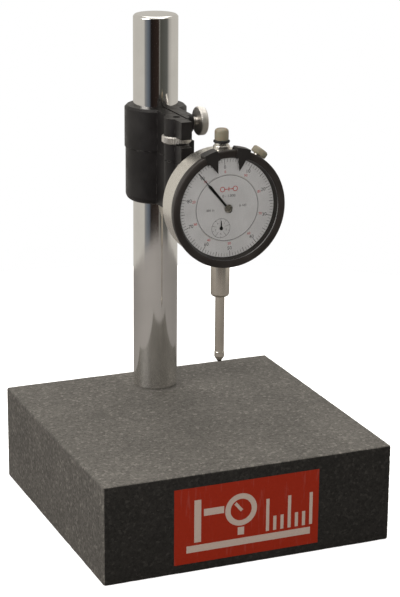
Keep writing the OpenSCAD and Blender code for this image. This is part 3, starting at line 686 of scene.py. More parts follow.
class Shape:
    """A mesh being modelled in millimetres on its own axes. What it takes in is used up."""

    def __init__(self) -> None:
        """Starts an empty shape."""
        self.bm = bmesh.new()

    @classmethod
    def turned(cls, outline: Outline, steps: int = 96, closed: bool = False) -> "Shape":
        """Spins an outline about +Z, as on a lathe.

        Args:
            outline: Points of radius, height and, for a rounded corner, its radius.
            steps: Facets round the axis.
            closed: Whether the outline returns to its start.

        Returns:
            The turned shape.
        """
        shape = cls()
        bm = shape.bm
        points = [bm.verts.new((point[0], 0.0, point[1])) for point in outline]
        pairs = list(zip(points, points[1:])) + ([(points[-1], points[0])] if closed else [])
        for pair in pairs:
            bm.edges.new(pair)
        for vert, point in zip(points, outline):
            if len(point) > 2:
                shape._soften([vert], point[2], 4, "VERTICES")
        bmesh.ops.spin(
            bm, geom=bm.verts[:] + bm.edges[:], cent=(0, 0, 0), axis=(0, 0, 1), dvec=(0, 0, 0),
            angle=FULL_TURN, steps=steps, use_merge=True, use_duplicate=False,
        )
        return shape.cleaned()

    @classmethod
    def plate(cls, outline: Outline, thickness: float, soften: float = 0.0) -> "Shape":
        """Raises a flat outline from z = 0.

        Args:
            outline: Corner points, counter-clockwise.
            thickness: How far it is raised.
            soften: Width of the rounding on its edges.

        Returns:
            The plate.
        """
        shape = cls()
        bm = shape.bm
        face = bm.faces.new([bm.verts.new((x, y, 0.0)) for x, y in outline])
        grown = bmesh.ops.extrude_face_region(bm, geom=[face])["geom"]
        bmesh.ops.translate(
            bm, vec=(0, 0, thickness), verts=[item for item in grown if isinstance(item, bmesh.types.BMVert)]
        )
        bmesh.ops.recalc_face_normals(bm, faces=bm.faces)
        if soften:
            shape.round_edges(soften)
        return shape

    @classmethod
    def block(cls, size: Sequence[float], at: Sequence[float] = (0, 0, 0), spin: float = 0.0) -> "Shape":
        """Makes a box.

        Args:
            size: Width, depth and height.
            at: Its middle.
            spin: Degrees about +Z, applied after it is put at its place.

        Returns:
            The box.
        """
        shape = cls()
        scale = Matrix.Diagonal((*size, 1.0))
        turn = Matrix.Rotation(math.radians(spin), 4, "Z")
        bmesh.ops.create_cube(shape.bm, size=1.0, matrix=turn @ Matrix.Translation(Vector(at)) @ scale)
        return shape

    @classmethod
    def ring(cls, inner: float, outer: float, thickness: float, steps: int = 96) -> "Shape":
        """Makes a flat ring on z = 0."""
        return cls.turned([(inner, 0), (outer, 0), (outer, thickness), (inner, thickness)], steps, True)

    @classmethod
    def from_node(cls, node: str, soften: float, sharp: float) -> "Shape":
        """Copies a part's mesh and eases its edges.

        Args:
            node: The part.
            soften: Width of the rounding.
            sharp: Edges turning more than this many degrees are rounded.

        Returns:
            The eased copy, already in its place on the stand.
        """
        shape = cls()
        bm = shape.bm
        bm.from_mesh(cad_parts[node].data)
        bmesh.ops.transform(bm, matrix=Matrix.Scale(1 / MM, 4), verts=bm.verts)
        bmesh.ops.remove_doubles(bm, verts=bm.verts, dist=0.002)
        bmesh.ops.dissolve_degenerate(bm, dist=0.001, edges=bm.edges)
        bmesh.ops.dissolve_limit(bm, angle_limit=math.radians(1), verts=bm.verts, edges=bm.edges)
        if soften:
            shape.round_edges(soften, sharp)
        return shape

    @classmethod
    def lettering(cls, text: str, height: float, thickness: float) -> "Shape":
        """Makes raised figures, centred on the origin.

        Args:
            text: What they say.
            height: Height of a figure.
            thickness: How far they are raised from z = 0.

        Returns:
            The figures.
        """
        curve = bpy.data.curves.new("figures", "FONT")
        curve.body = text
        curve.size = height / FIGURE_SHARE
        curve.align_x, curve.align_y = "CENTER", "CENTER"
        curve.extrude = thickness / 2
        curve.resolution_u = 3
        holder = bpy.data.objects.new("figures", curve)
        bpy.context.scene.collection.objects.link(holder)
        mesh = bpy.data.meshes.new_from_object(holder.evaluated_get(bpy.context.evaluated_depsgraph_get()))
        bpy.data.objects.remove(holder)
        bpy.data.curves.remove(curve)
        shape = cls()
        shape.bm.from_mesh(mesh)
        bpy.data.meshes.remove(mesh)
        bmesh.ops.translate(shape.bm, vec=(0, 0, thickness / 2), verts=shape.bm.verts)
        return shape

    def cleaned(self) -> "Shape":
        """Merges doubles and turns the faces outwards.

        Returns:
            The same shape.
        """
        bmesh.ops.remove_doubles(self.bm, verts=self.bm.verts, dist=1e-4)
        bmesh.ops.recalc_face_normals(self.bm, faces=self.bm.faces)
        return self

    def _soften(self, geom: list, width: float, segments: int, affect: str) -> None:
        """Bevels some geometry with a round profile.

        Args:
            geom: The edges or points.
            width: Width of the bevel.
            segments: Its facets.
            affect: Whether edges or points are bevelled.
        """
        bmesh.ops.bevel(
            self.bm, geom=geom, offset=width, offset_type="OFFSET", segments=segments, profile=0.5,
            affect=affect, clamp_overlap=True, material=-1,
        )

    def round_edges(self, width: float, sharp: float = 30.0, segments: int = 2) -> "Shape":
        """Rounds every edge that turns more than some degrees.

        Args:
            width: Width of the rounding.
            sharp: The angle, in degrees.
            segments: Facets of the rounding.

        Returns:
            The same shape.
        """
        limit = math.radians(sharp)
        edges = [edge for edge in self.bm.edges if edge.is_manifold and edge.calc_face_angle(0.0) > limit]
        self._soften(edges, width, segments, "EDGES")
        return self

    def moved(self, matrix: Matrix) -> "Shape":
        """Moves the whole shape."""
        bmesh.ops.transform(self.bm, matrix=matrix, verts=self.bm.verts)
        return self

    def add(self, other: "Shape", matrix: Optional[Matrix] = None) -> "Shape":
        """Takes another shape into this one.

        Args:
            other: The other shape, which is used up.
            matrix: Where it goes.

        Returns:
            This shape.
        """
        if matrix:
            other.moved(matrix)
        carrier = bpy.data.meshes.new("carrier")
        other.bm.to_mesh(carrier)
        other.bm.free()
        self.bm.from_mesh(carrier)
        bpy.data.meshes.remove(carrier)
        return self

    def knurled(
        self, radius: float, low: float, high: float, teeth: int, depth: float, cut: Knurl
    ) -> "Shape":
        """Presses a knurl into the band of points at some radius.

        Args:
            radius: The band's radius.
            low: Its lower edge.
            high: Its upper edge.
            teeth: Grooves round the band.
            depth: Depth of a groove.
            cut: The kind of knurl.

        Returns:
            The same shape.
        """
        pitch = FULL_TURN * radius / teeth

        def groove(phase: float) -> float:
            """1 at the bottom of a groove and 0 on its ridge."""
            return 1 - abs(2 * (phase % 1.0) - 1)

        for vert in self.bm.verts:
            x, y, z = vert.co
            if abs(math.hypot(x, y) - radius) < 0.02 and low - 0.01 <= z <= high + 0.01:
                round_phase = math.atan2(y, x) / FULL_TURN * teeth
                rise = (z - low) / pitch if cut is Knurl.DIAMOND else 0.0
                press = max(groove(round_phase + rise), groove(round_phase - rise))
                vert.co.xy *= 1 - depth * press / radius
        return self

    def cut_by(self, cutter: "Shape") -> "Shape":
        """Takes another shape away from this one.

        Args:
            cutter: The shape to take away, which is used up.

        Returns:
            The same shape.
        """
        holders = []
        for shape in (self, cutter):
            mesh = bpy.data.meshes.new("blank")
            shape.bm.to_mesh(mesh)
            shape.bm.free()
            holder = bpy.data.objects.new("blank", mesh)
            bpy.context.scene.collection.objects.link(holder)
            holders.append(holder)
        target, tool = holders
        carve = target.modifiers.new("carve", "BOOLEAN")
        carve.operation, carve.solver, carve.object = "DIFFERENCE", "EXACT", tool
        mesh = bpy.data.meshes.new_from_object(target.evaluated_get(bpy.context.evaluated_depsgraph_get()))
        self.bm = bmesh.new()
        self.bm.from_mesh(mesh)
        for holder in holders:
            blank = holder.data
            bpy.data.objects.remove(holder)
            bpy.data.meshes.remove(blank)
        bpy.data.meshes.remove(mesh)
        return self

    def seated(self, name: str, at: Matrix, *finishes: Finish, smooth: float = 32.0) -> Piece:
        """Makes the finished object.

        Args:
            name: The piece's name.
            at: Its seat, in millimetres.
            finishes: Its finishes, by material index.
            smooth: Edges turning more than this many degrees stay crisp.

        Returns:
            The object, at the origin with its place in its mesh.
        """
        self.moved(Matrix.Scale(MM, 4) @ at)
        mesh = bpy.data.meshes.new(name)
        self.bm.to_mesh(mesh)
        self.bm.free()
        mesh.shade_smooth()
        mesh.set_sharp_from_angle(angle=math.radians(smooth))
        for finish in finishes:
            mesh.materials.append(finish.material())
        piece = bpy.data.objects.new(name, mesh)
        bpy.context.scene.collection.objects.link(piece)
        piece.modifiers.new("even_shading", "WEIGHTED_NORMAL").keep_sharp = True
        return piece


def fit(piece: Piece, body: str, slot: str, *nodes: str) -> None:
    """Puts a piece on its body, hides the parts that it replaces and logs its face count.

    Args:
        piece: The piece.
        body: The body that it rides on.
        slot: The record's material slot; not used.
        nodes: The parts that it replaces.
    """
    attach(piece, body)
    if nodes:
        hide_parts(*nodes)
    LOG.info("%s on %s: %d faces", piece.name, body, len(piece.data.polygons))


@dataclass(frozen=True)
class EasedPart:
    """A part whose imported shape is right, and that wants only eased edges and its finish."""

    node: str
    name: str
    body: str
    slot: str
    finish: Finish
    ease: float
    sharp: float = 40.0
    smooth: float = 32.0

    def build(self) -> None:
        """Copies the part, eases it and fits it."""
        shape = Shape.from_node(self.node, self.ease, self.sharp)
        fit(shape.seated(self.name, HERE, self.finish, smooth=self.smooth), self.body, self.slot, self.node)


def steps_between(low: float, high: float, radius: float, count: int) -> list[tuple[float, float]]:
    """Lists evenly spaced points up a straight wall.

    Args:
        low: Lower end.
        high: Upper end.
        radius: The wall's radius.
        count: Number of spaces.

    Returns:
        The points, from the lower end to the upper.
    """
    return [(radius, low + (high - low) * index / count) for index in range(count + 1)]


def half_circle(radius: float, count: int) -> list[tuple[float, float]]:
    """Lists the points of a half circle from its lower pole to its upper.

    Args:
        radius: Its radius.
        count: Number of spaces.

    Returns:
        The points.
    """
    turns = [math.pi * index / count for index in range(count + 1)]
    return [(radius * math.sin(turn), -radius * math.cos(turn)) for turn in turns]


def thread(low: float, high: float, radius: float, pitch: float, depth: float) -> list[tuple[float, float]]:
    """Lists the points of a screw thread's flanks.

    Args:
        low: Lower end.
        high: Upper end.
        radius: Outer radius.
        pitch: Spacing of the crests.
        depth: Depth of the thread.

    Returns:
        The points, from the lower end to the upper.
    """
    turns = int((high - low) / pitch)
    points = []
    for index in range(turns):
        start = low + index * pitch
        points += [(radius - depth, start), (radius, start + pitch * 0.4), (radius, start + pitch * 0.6)]
    return points + [(radius - depth, low + turns * pitch)]


# ---- The stand ----


@dataclass
class GraniteBase:
    """The granite block, with its label on the front face."""

    arris: float = 1.1
    chip: float = 0.45
    cuts: int = 44
    recess_r: float = 13.0
    recess_depth: float = 12.0
    bolt_r: float = 5.5
    film: float = 0.15
    raised: float = 0.04
    block_box: Extent = field(default_factory=lambda: Extent.of("granite_base"))
    label_box: Extent = field(default_factory=lambda: Extent.of("base_label"))
    post_box: Extent = field(default_factory=lambda: Extent.of("post"))

    def block(self) -> None:
        """Builds the block: eased and slightly chipped edges, and the bolt's recess below."""
        size, centre = self.block_box.size, self.block_box.centre
        stone = Shape.block(size)
        bm = stone.bm
        bmesh.ops.subdivide_edges(bm, edges=bm.edges[:], cuts=self.cuts, use_grid_fill=True)
        stone.round_edges(self.arris, 60, 3)
        half = size / 2
        for vert in bm.verts:
            depths = sorted(half[axis] - abs(vert.co[axis]) for axis in range(3))
            if depths[1] < self.arris * 1.05:
                rough = noise.noise(vert.co * 0.5) + 0.7 * noise.noise(vert.co * 1.9)
                vert.co *= 1 - self.chip * max(0.0, rough - 0.12) / half.length
        for face in bm.faces:
            normal = face.normal
            # Top faces take the lapped finish, the front face the darker copy with painted shade, and the
            # rest the ground finish.
            face.material_index = 1 if normal.z > 0.9 else 2 if normal.y < -0.9 else 0
        bore_at = self.post_box.centre - centre
        floor = -half.z
        cutter = Shape.turned([
            (0, floor - 1), (self.recess_r, floor - 1), (self.recess_r, floor + self.recess_depth),
            (self.bolt_r, floor + self.recess_depth), (self.bolt_r, half.z + 1), (0, half.z + 1),
        ], 64).moved(Matrix.Translation((bore_at.x, bore_at.y, 0)))
        stone.cut_by(cutter)
        piece = stone.seated("granite_block", seat(centre), GROUND, LAPPED, FRONT_SHADE_GRANITE, smooth=40)
        fit(piece, "stand", "granite", "granite_base")

    def label(self) -> None:
        """Builds the red film of the label."""
        size, centre = self.label_box.size, self.label_box.centre
        film = Shape.block((size.x, size.z, self.film))
        film.round_edges(0.05, 60, 1)
        back = self.label_box.high.y
        at = seat((centre.x, back - self.film / 2, centre.z), Facing.FRONT)
        fit(film.seated("label_film", at, RED_FILM), "stand", "label_film", "base_label")

    def print_mark(self) -> None:
        """Builds the label's plain pictogram: a column, an arm, a dial and a rule."""
        raised = self.raised
        mark = Shape()

        def bar(low: tuple[float, float], high: tuple[float, float]) -> None:
            """Adds a bar.

            Args:
                low: Its lower left corner.
                high: Its upper right corner.
            """
            mark.add(Shape.block(
                (high[0] - low[0], high[1] - low[1], raised),
                ((low[0] + high[0]) / 2, (low[1] + high[1]) / 2, raised / 2),
            ))

        bar((-32, -14), (34, -10.4))
        bar((-28, -9), (-24.4, 13))
        bar((-23, 4.2), (-12.4, 7.8))
        dial = (-3.4, 4.6)
        mark.add(Shape.ring(5.6, 8.4, raised), Matrix.Translation((*dial, 0)))
        mark.add(Shape.block((1.6, 5.4, raised), (0, 2.0, raised / 2)),
                 Matrix.Translation((*dial, 0)) @ Matrix.Rotation(math.radians(40), 4, "Z"))
        bar((dial[0] - 1.7, -8.6), (dial[0] + 1.7, -4.6))
        for index in range(7):
            left = 10 + index * 3.9
            bar((left, -9), (left + 1.7, (8.0, -1.5, -1.5)[index % 3]))
        centre = self.label_box.centre
        at = seat((centre.x, self.label_box.high.y - self.film, centre.z), Facing.FRONT)
        fit(mark.seated("label_print", at, PALE_PRINT), "stand", "label_film")

    def build(self) -> None:
        """Builds the block and its label."""
        self.block()
        self.label()
        self.print_mark()


@dataclass
class Column:
    """The chromed post."""

    chamfer: float = 1.0
    bore_r: float = 5.1
    bore_depth: float = 25.0
    box: Extent = field(default_factory=lambda: Extent.of("post"))

    def build(self) -> None:
        """Turns the post, with eased rims and the bolt's bore below."""
        radius, height = self.box.size.x / 2, self.box.size.z
        rod = Shape.turned([
            (0, self.bore_depth), (self.bore_r, self.bore_depth), (self.bore_r, 0),
            (radius - 0.3, 0), (radius, 0.3), (radius, height - self.chamfer, 0.4),
            (radius - self.chamfer, height, 0.3), (0, height),
        ], 160)
        centre = self.box.centre
        piece = rod.seated("chromed_post", seat((centre.x, centre.y, self.box.low.z)), CHROME)
        fit(piece, "stand", "chrome_steel", "post")


@dataclass
class KnurledGrips:
    """The screws and wheels turned by hand on the column."""

    grip_chamfer: float = 0.5
    thread_r: float = 2.4
    head: float = 3.7
    dish: float = 0.35
    wheel_bore_r: float = 2.1
    thumb_teeth: int = 44
    wheel_teeth: int = 56
    thumb_box: Extent = field(default_factory=lambda: Extent.of("clamp_thumbscrew"))
    wheel_box: Extent = field(default_factory=lambda: Extent.of("fine_adjust_wheel"))
    stud_box: Extent = field(default_factory=lambda: Extent.of("fine_adjust_stud"))

    def thumbscrew(self) -> None:
        """Turns the clamp's thumbscrew: thread, neck and a dished, diamond-knurled head."""
        length, radius = self.thumb_box.size.x, self.thumb_box.size.y / 2
        start = length - self.head
        low, high = start + self.grip_chamfer, length - self.grip_chamfer
        body = Shape.turned([
            (0, 0), (self.thread_r - 0.4, 0), *thread(0.4, start - 0.6, self.thread_r, 0.8, 0.35),
            (self.thread_r - 0.25, start), (radius - 1.4, start), (radius - 1.2, start),
            (radius - self.grip_chamfer, start), *steps_between(low, high, radius, 10),
            (radius - self.grip_chamfer, length), (radius - 1.6, length),
            (radius - 2.2, length - self.dish, 0.2), (0, length - self.dish),
        ], self.thumb_teeth * 4)
        body.knurled(radius, low, high, self.thumb_teeth, 0.32, Knurl.DIAMOND)
        centre = self.thumb_box.centre
        at = seat((self.thumb_box.low.x, centre.y, centre.z), Facing.RIGHT)
        fit(body.seated("thumbscrew", at, GRIP), "thumbscrew", "plain_steel", "clamp_thumbscrew")

    def wheel(self) -> None:
        """Turns the fine adjustment's wheel, straight-knurled."""
        height, radius = self.wheel_box.size.z, self.wheel_box.size.x / 2
        low, high = self.grip_chamfer, height - self.grip_chamfer
        body = Shape.turned([
            (self.wheel_bore_r, 0), (radius - self.grip_chamfer, 0), *steps_between(low, high, radius, 3),
            (radius - self.grip_chamfer, height), (self.wheel_bore_r, height),
        ], self.wheel_teeth * 4, True)
        body.knurled(radius, low, high, self.wheel_teeth, 0.22, Knurl.STRAIGHT)
        centre = self.wheel_box.centre
        at = seat((centre.x, centre.y, self.wheel_box.low.z))
        piece = body.seated("adjusting_wheel", at, GRIP)
        fit(piece, "adjusting_wheel", "plain_steel", "fine_adjust_wheel")

    def stud(self) -> None:
        """Turns the threaded stud that the wheel runs on."""
        height, radius = self.stud_box.size.z, self.stud_box.size.x / 2
        body = Shape.turned([
            (0, 0), (radius - 0.3, 0), *thread(0.3, height - 0.5, radius, 0.7, 0.3),
            (radius - 0.5, height - 0.1), (radius - 1.2, height), (radius - 1.2, height - 1.0),
            (0, height - 1.4),
        ], 48)
        centre = self.stud_box.centre
        at = seat((centre.x, centre.y, self.stud_box.low.z))
        fit(body.seated("adjusting_stud", at, STEEL), "carrier", "plain_steel", "fine_adjust_stud")

    def build(self) -> None:
        """Builds the three."""
        self.thumbscrew()
        self.wheel()
        self.stud()


@dataclass
class Castings:
    """The two black castings on the post: the clamp above and the indicator's carrier below."""

    ease: float = 0.45

    def build(self) -> None:
        """Eases the castings' edges and paints them."""
        for node, body in (("clamp_collar", "collar"), ("indicator_carrier", "carrier")):
            EasedPart(node, f"{node}_casting", body, "black_enamel", ENAMEL, self.ease, 30, 40).build()


@dataclass
class LugFastening:
    """The screw and washer that hold the indicator's lug to the carrier."""

    ease: float = 0.15

    def build(self) -> None:
        """Builds both from their parts, with eased edges."""
        for node, name in (("lug_screw", "lug_screw_head"), ("lug_washer", "lug_washer_ring")):
            EasedPart(node, name, "carrier", "plain_steel", STEEL, self.ease).build()


# ---- The indicator ----

COUNTER_AT = (-3.3, -10.1)
COUNTER_R = 5.0


@dataclass
class DialAxis:
    """Where the dial's centre and the stem's axis lie."""

    dial_box: Extent = field(default_factory=lambda: Extent.of("dial_disc"))
    stem_box: Extent = field(default_factory=lambda: Extent.of("stem"))

    def at(self, depth: float = 0.0, spin: float = 0.0, x: float = 0.0, y: float = 0.0) -> Matrix:
        """Seats a shape on the dial's axis.

        Args:
            depth: How far in front of the stem's axis its z = 0 lies.
            spin: Degrees counter-clockwise about the dial's centre.
            x: Offset to the right of the centre.
            y: Offset above the centre.

        Returns:
            The seat.
        """
        centre, stem = self.dial_box.centre, self.stem_box.centre
        return seat((centre.x + x, stem.y - depth, centre.z + y), Facing.FRONT, spin)

    def up(self, height: float) -> Matrix:
        """Seats a shape upright on the stem's axis, at some height."""
        centre = self.stem_box.centre
        return seat((centre.x, centre.y, height))

    def depth_of(self, node: str) -> tuple[float, float]:
        """Tells how far in front of the stem's axis a part starts and ends."""
        box, stem = Extent.of(node), self.stem_box.centre
        return stem.y - box.high.y, stem.y - box.low.y


@dataclass
class IndicatorCase:
    """The silver case, its back cover with the lug, the stem and the bushings."""

    axis: DialAxis
    wall: float = 2.8
    neck_step: float = 1.4
    neck_height: float = 1.2
    stem_bore_r: float = 2.95
    bush_bore_r: float = 2.4
    case_box: Extent = field(default_factory=lambda: Extent.of("case_body"))

    def case(self) -> None:
        """Turns the case: a cup with a rolled edge, a front shoulder and the bezel's neck."""
        back, front = self.axis.depth_of("case_body")
        radius = self.case_box.size.x / 2
        shoulder = front - self.neck_height
        cup = Shape.turned([
            (radius - self.wall, back), (radius, back, 0.25), (radius, shoulder - 1.5),
            (radius, shoulder, 0.5),
            (radius - self.neck_step, shoulder), (radius - self.neck_step, front),
            (radius - self.wall, front), (radius - self.wall, shoulder),
            (radius - self.wall - 2, shoulder), (radius - self.wall - 2, shoulder - 1.2),
            (radius - self.wall, shoulder - 1.2),
        ], 160, True)
        fit(cup.seated("indicator_case", self.axis.at(), SATIN), "indicator", "satin_case", "case_body")

    def cover(self) -> None:
        """Eases the back cover and its lug."""
        EasedPart("back_cover", "back_cover_lug", "indicator", "satin_case", COVER, 0.3).build()

    def cover_screws(self) -> None:
        """Builds the cover's slotted screws."""
        back, _ = self.axis.depth_of("back_cover_screws")
        middle = self.case_box.size.x / 2 - self.wall / 2
        screws = Shape()
        for quarter in range(4):
            screw = Shape.turned([
                (0, 0), (1.1, 0, 0.15), (1.3, 0.3), (1.3, 0.7), (0.8, 0.7), (0.8, 4), (0, 4),
            ], 32)
            screw.cut_by(Shape.block((3.2, 0.35, 0.6), (0, 0, 0), 30 + 47 * quarter))
            round_by = Matrix.Rotation(math.radians(45 + 90 * quarter), 4, "Z")
            screws.add(screw, round_by @ Matrix.Translation((middle, 0, 0)))
        piece = screws.seated("cover_screws", self.axis.at(back), STEEL)
        fit(piece, "indicator", "plain_steel", "back_cover_screws")

    def stem(self) -> None:
        """Turns the stem, with its rounded lower end."""
        box = Extent.of("stem")
        height, radius = box.size.z, box.size.x / 2
        shoulder = self.case_box.low.z - box.low.z
        tube = Shape.turned([
            (self.stem_bore_r, 0), (radius - 1.2, 0, 0.3), (radius - 0.35, 0.5, 0.4), (radius, 1.4, 0.5),
            (radius, shoulder), (radius - 0.4, shoulder), (radius - 0.4, height), (self.stem_bore_r, height),
        ], 96, True)
        fit(tube.seated("stem_tube", self.axis.up(box.low.z), NICKEL), "indicator", "satin_case", "stem")

    def bushings(self) -> None:
        """Turns the stem's brass bushing and the stepped bushing on top of the case."""
        low = Extent.of("lower_bushing")
        sleeve = Shape.ring(self.bush_bore_r, low.size.x / 2, low.size.z, 64)
        piece = sleeve.seated("stem_sleeve", self.axis.up(low.low.z), BRASS)
        fit(piece, "indicator", "brass_parts", "lower_bushing")
        top = Extent.of("upper_bushing")
        radius, height = top.size.x / 2, top.size.z
        collar = Shape.turned([
            (self.bush_bore_r, 0), (radius, 0), (radius, height - 1.7), (radius - 0.25, height - 1.25, 0.15),
            (radius - 0.7, height - 1.1), (radius - 0.7, height, 0.2), (self.bush_bore_r, height, 0.1),
        ], 96, True)
        piece = collar.seated("top_bushing", self.axis.up(top.low.z), SATIN)
        fit(piece, "indicator", "satin_case", "upper_bushing")

    def build(self) -> None:
        """Builds the case and what is fixed to it."""
        self.case()
        self.cover()
        self.cover_screws()
        self.stem()
        self.bushings()


@dataclass
class Plunger:
    """The spindle with its contact point, rubber bumper and lift cap."""

    axis: DialAxis
    body: str = "spindle_group"
    rod_r: float = 2.4
    tip_reach: float = 5.7
    cap_socket: float = 2.0

    def rod(self) -> None:
        """Carries the spindle over, with its rack."""
        EasedPart("spindle", "plunger_rod", self.body, "chrome_steel", NICKEL, 0.0, smooth=30).build()

    def contact(self) -> None:
        """Turns the contact point and the ball set in its end."""
        point, ball = Extent.of("contact_point"), Extent.of("contact_ball")
        radius = point.size.x / 2
        length = ball.low.z + self.tip_reach - point.low.z
        tip = Shape.turned([
            (0, 0), (1.5, 0, 0.1), (radius, 1.5, 0.3), (radius, length - 0.3, 0.15),
            (radius - 0.25, length), (1.25, length), (1.25, point.size.z), (0, point.size.z),
        ], 72)
        piece = tip.seated("contact_tip", self.axis.up(point.low.z), NICKEL)
        fit(piece, self.body, "plain_steel", "contact_point")
        bead = Shape.turned(half_circle(ball.size.z / 2, 16), 48)
        piece = bead.seated("contact_bead", self.axis.up(ball.centre.z), CARBIDE)
        fit(piece, self.body, "carbide", "contact_ball")

    def bumper(self) -> None:
        """Turns the rubber ring under the cap."""
        ring = Extent.of("bumper_ring")
        radius, height = ring.size.x / 2, ring.size.z
        rubber = Shape.turned([
            (self.rod_r, 0), (radius, 0, 0.5), (radius, height, 0.5), (self.rod_r, height),
        ], 72, True)
        piece = rubber.seated("rubber_bumper", self.axis.up(ring.low.z), RUBBER)
        fit(piece, self.body, "black_rubber", "bumper_ring")

    def cap(self) -> None:
        """Turns the lift cap, hollow below where the spindle enters."""
        box = Extent.of("lift_cap")
        width, height = box.size.x / 2, box.size.z
        button = Shape.turned([
            (0, height - self.cap_socket), (self.rod_r, height - self.cap_socket), (self.rod_r, 0),
            (width - 0.15, 0, 0.2), (width - 0.02, 0.9), (width, height * 0.5),
            (width - 0.05, height, 1.5), (0, height),
        ], 72)
        piece = button.seated("lift_button", self.axis.up(box.low.z), BEIGE)
        fit(piece, self.body, "beige_plastic", "lift_cap")

    def build(self) -> None:
        """Builds the sliding pieces."""
        self.rod()
        self.contact()
        self.bumper()
        self.cap()


@dataclass
class DialFace:
    """The dial: a fixed inner disc with the turn counter, and the scale ring that turns with the bezel."""

    axis: DialAxis
    scale_turn: float = 4.0
    divisions: int = 100
    tick_out: float = 25.0
    figure_r: float = 20.9
    figure_height: float = 1.75
    back_figure_r: float = 18.5
    back_figure_height: float = 1.3
    print_depth: float = 0.03
    plate_bore_r: float = 1.1
    ring_gap: float = 0.12
    rim_line: tuple[float, float] = (16.55, 16.75)
    badge_y: float = 9.6

    def stroke(self, width: float, start: float, end: float, spin: float = 0.0) -> Shape:
        """Prints a radial stroke.

        Args:
            width: Its width.
            start: Its inner radius.
            end: Its outer radius.
            spin: Degrees from the top, counter-clockwise.

        Returns:
            The stroke.
        """
        middle = (0, (start + end) / 2, self.print_depth / 2)
        return Shape.block((width, end - start, self.print_depth), middle, spin)

    def discs(self) -> None:
        """Turns the two silvered plates."""
        back, front = self.axis.depth_of("dial_disc")
        thickness = front - back
        inner, outer = Extent.of("dial_disc").size.x / 2, Extent.of("scale_ring").size.x / 2
        hub = Shape.turned([
            (self.plate_bore_r, 0), (inner, 0), (inner, thickness, 0.06), (self.plate_bore_r, thickness),
        ], 128, True)
        fit(hub.seated("dial_plate", self.axis.at(back), DIAL), "indicator", "dial_face", "dial_disc")
        ring = Shape.ring(inner + self.ring_gap, outer, thickness, 128)
        fit(ring.seated("scale_plate", self.axis.at(back), DIAL), "bezel_group", "dial_face", "scale_ring")

    def scale(self) -> None:
        """Prints the graduations and both rows of numbers on the scale ring."""
        _, front = self.axis.depth_of("scale_ring")
        black, red = Shape(), Shape()
        for index in range(self.divisions):
            length = 2.9 if index % 10 == 0 else 2.3 if index % 5 == 0 else 1.7
            width = 0.24 if index % 5 == 0 else 0.16
            spin = -360.0 * index / self.divisions
            black.add(self.stroke(width, self.tick_out - length, self.tick_out, spin))
        for step in range(10):
            angle = math.radians(90 - 36 * step)
            for ink, number, radius, height in (
                (black, 10 * step, self.figure_r, self.figure_height),
                (red, (10 - step) * 10 % 100, self.back_figure_r, self.back_figure_height),
            ):
                where = Matrix.Translation((radius * math.cos(angle), radius * math.sin(angle), 0))
                ink.add(Shape.lettering(str(number), height, self.print_depth), where)
        at = self.axis.at(front, self.scale_turn)
        fit(black.seated("scale_print", at, BLACK_INK), "bezel_group", "dial_face")
        fit(red.seated("scale_print_red", at, RED_INK), "bezel_group", "dial_face")

    def captions(self) -> Shape:
        """Prints the rim line, the reading's unit and the two ranges.

        Returns:
            The print.
        """
        ink = Shape()
        ink.add(Shape.ring(*self.rim_line, self.print_depth, 128))
        for text, x, y, height in (
            (".001 in", -9.2, -0.6, 1.15), ("0-100", 8.4, 0.6, 1.15), ("0 - 1.000", 0.8, 6.1, 1.35),
        ):
            ink.add(Shape.lettering(text, height, self.print_depth), Matrix.Translation((x, y, 0)))
        return ink

    def badge(self) -> Shape:
        """Prints a plain badge: two rings joined by a crossed bar.

        Returns:
            The print.
        """
        ink, line = Shape(), 0.32
        for x in (-2.6, 4.2):
            ring = Shape.ring(1.35 - line, 1.35, self.print_depth, 48)
            ink.add(ring, Matrix.Translation((x, self.badge_y, 0)))
        for width, height in ((5.2, line), (line, 2.2)):
            at = (0.8, self.badge_y, self.print_depth / 2)
            ink.add(Shape.block((width, height, self.print_depth), at))
        return ink

    def counter(self) -> Shape:
        """Prints the turn counter's circle, marks and numbers.

        Returns:
            The print, on the counter's own axis.
        """
        radius = COUNTER_R
        ink = Shape.ring(radius - 0.16, radius, self.print_depth, 72)
        for step in range(10):
            start = 2.4 if step % 2 == 0 else radius - 0.9
            ink.add(self.stroke(0.14, start, radius, -36.0 * step))
        for step in range(5):
            angle = math.radians(90 - 72 * step - 36)
            where = Matrix.Translation((3.0 * math.cos(angle), 3.0 * math.sin(angle), 0))
            ink.add(Shape.lettering(str(2 * step + 1), 0.95, self.print_depth), where)
        return ink

    def inner_print(self) -> None:
        """Lays the print on the inner disc."""
        _, front = self.axis.depth_of("dial_disc")
        black = self.captions().add(self.counter(), Matrix.Translation((*COUNTER_AT, 0)))
        at = self.axis.at(front)
        fit(black.seated("dial_print", at, BLACK_INK), "indicator", "dial_face")
        fit(self.badge().seated("dial_print_red", at, RED_INK), "indicator", "dial_face")

    def build(self) -> None:
        """Builds the plates and their print."""
        self.discs()
        self.scale()
        self.inner_print()


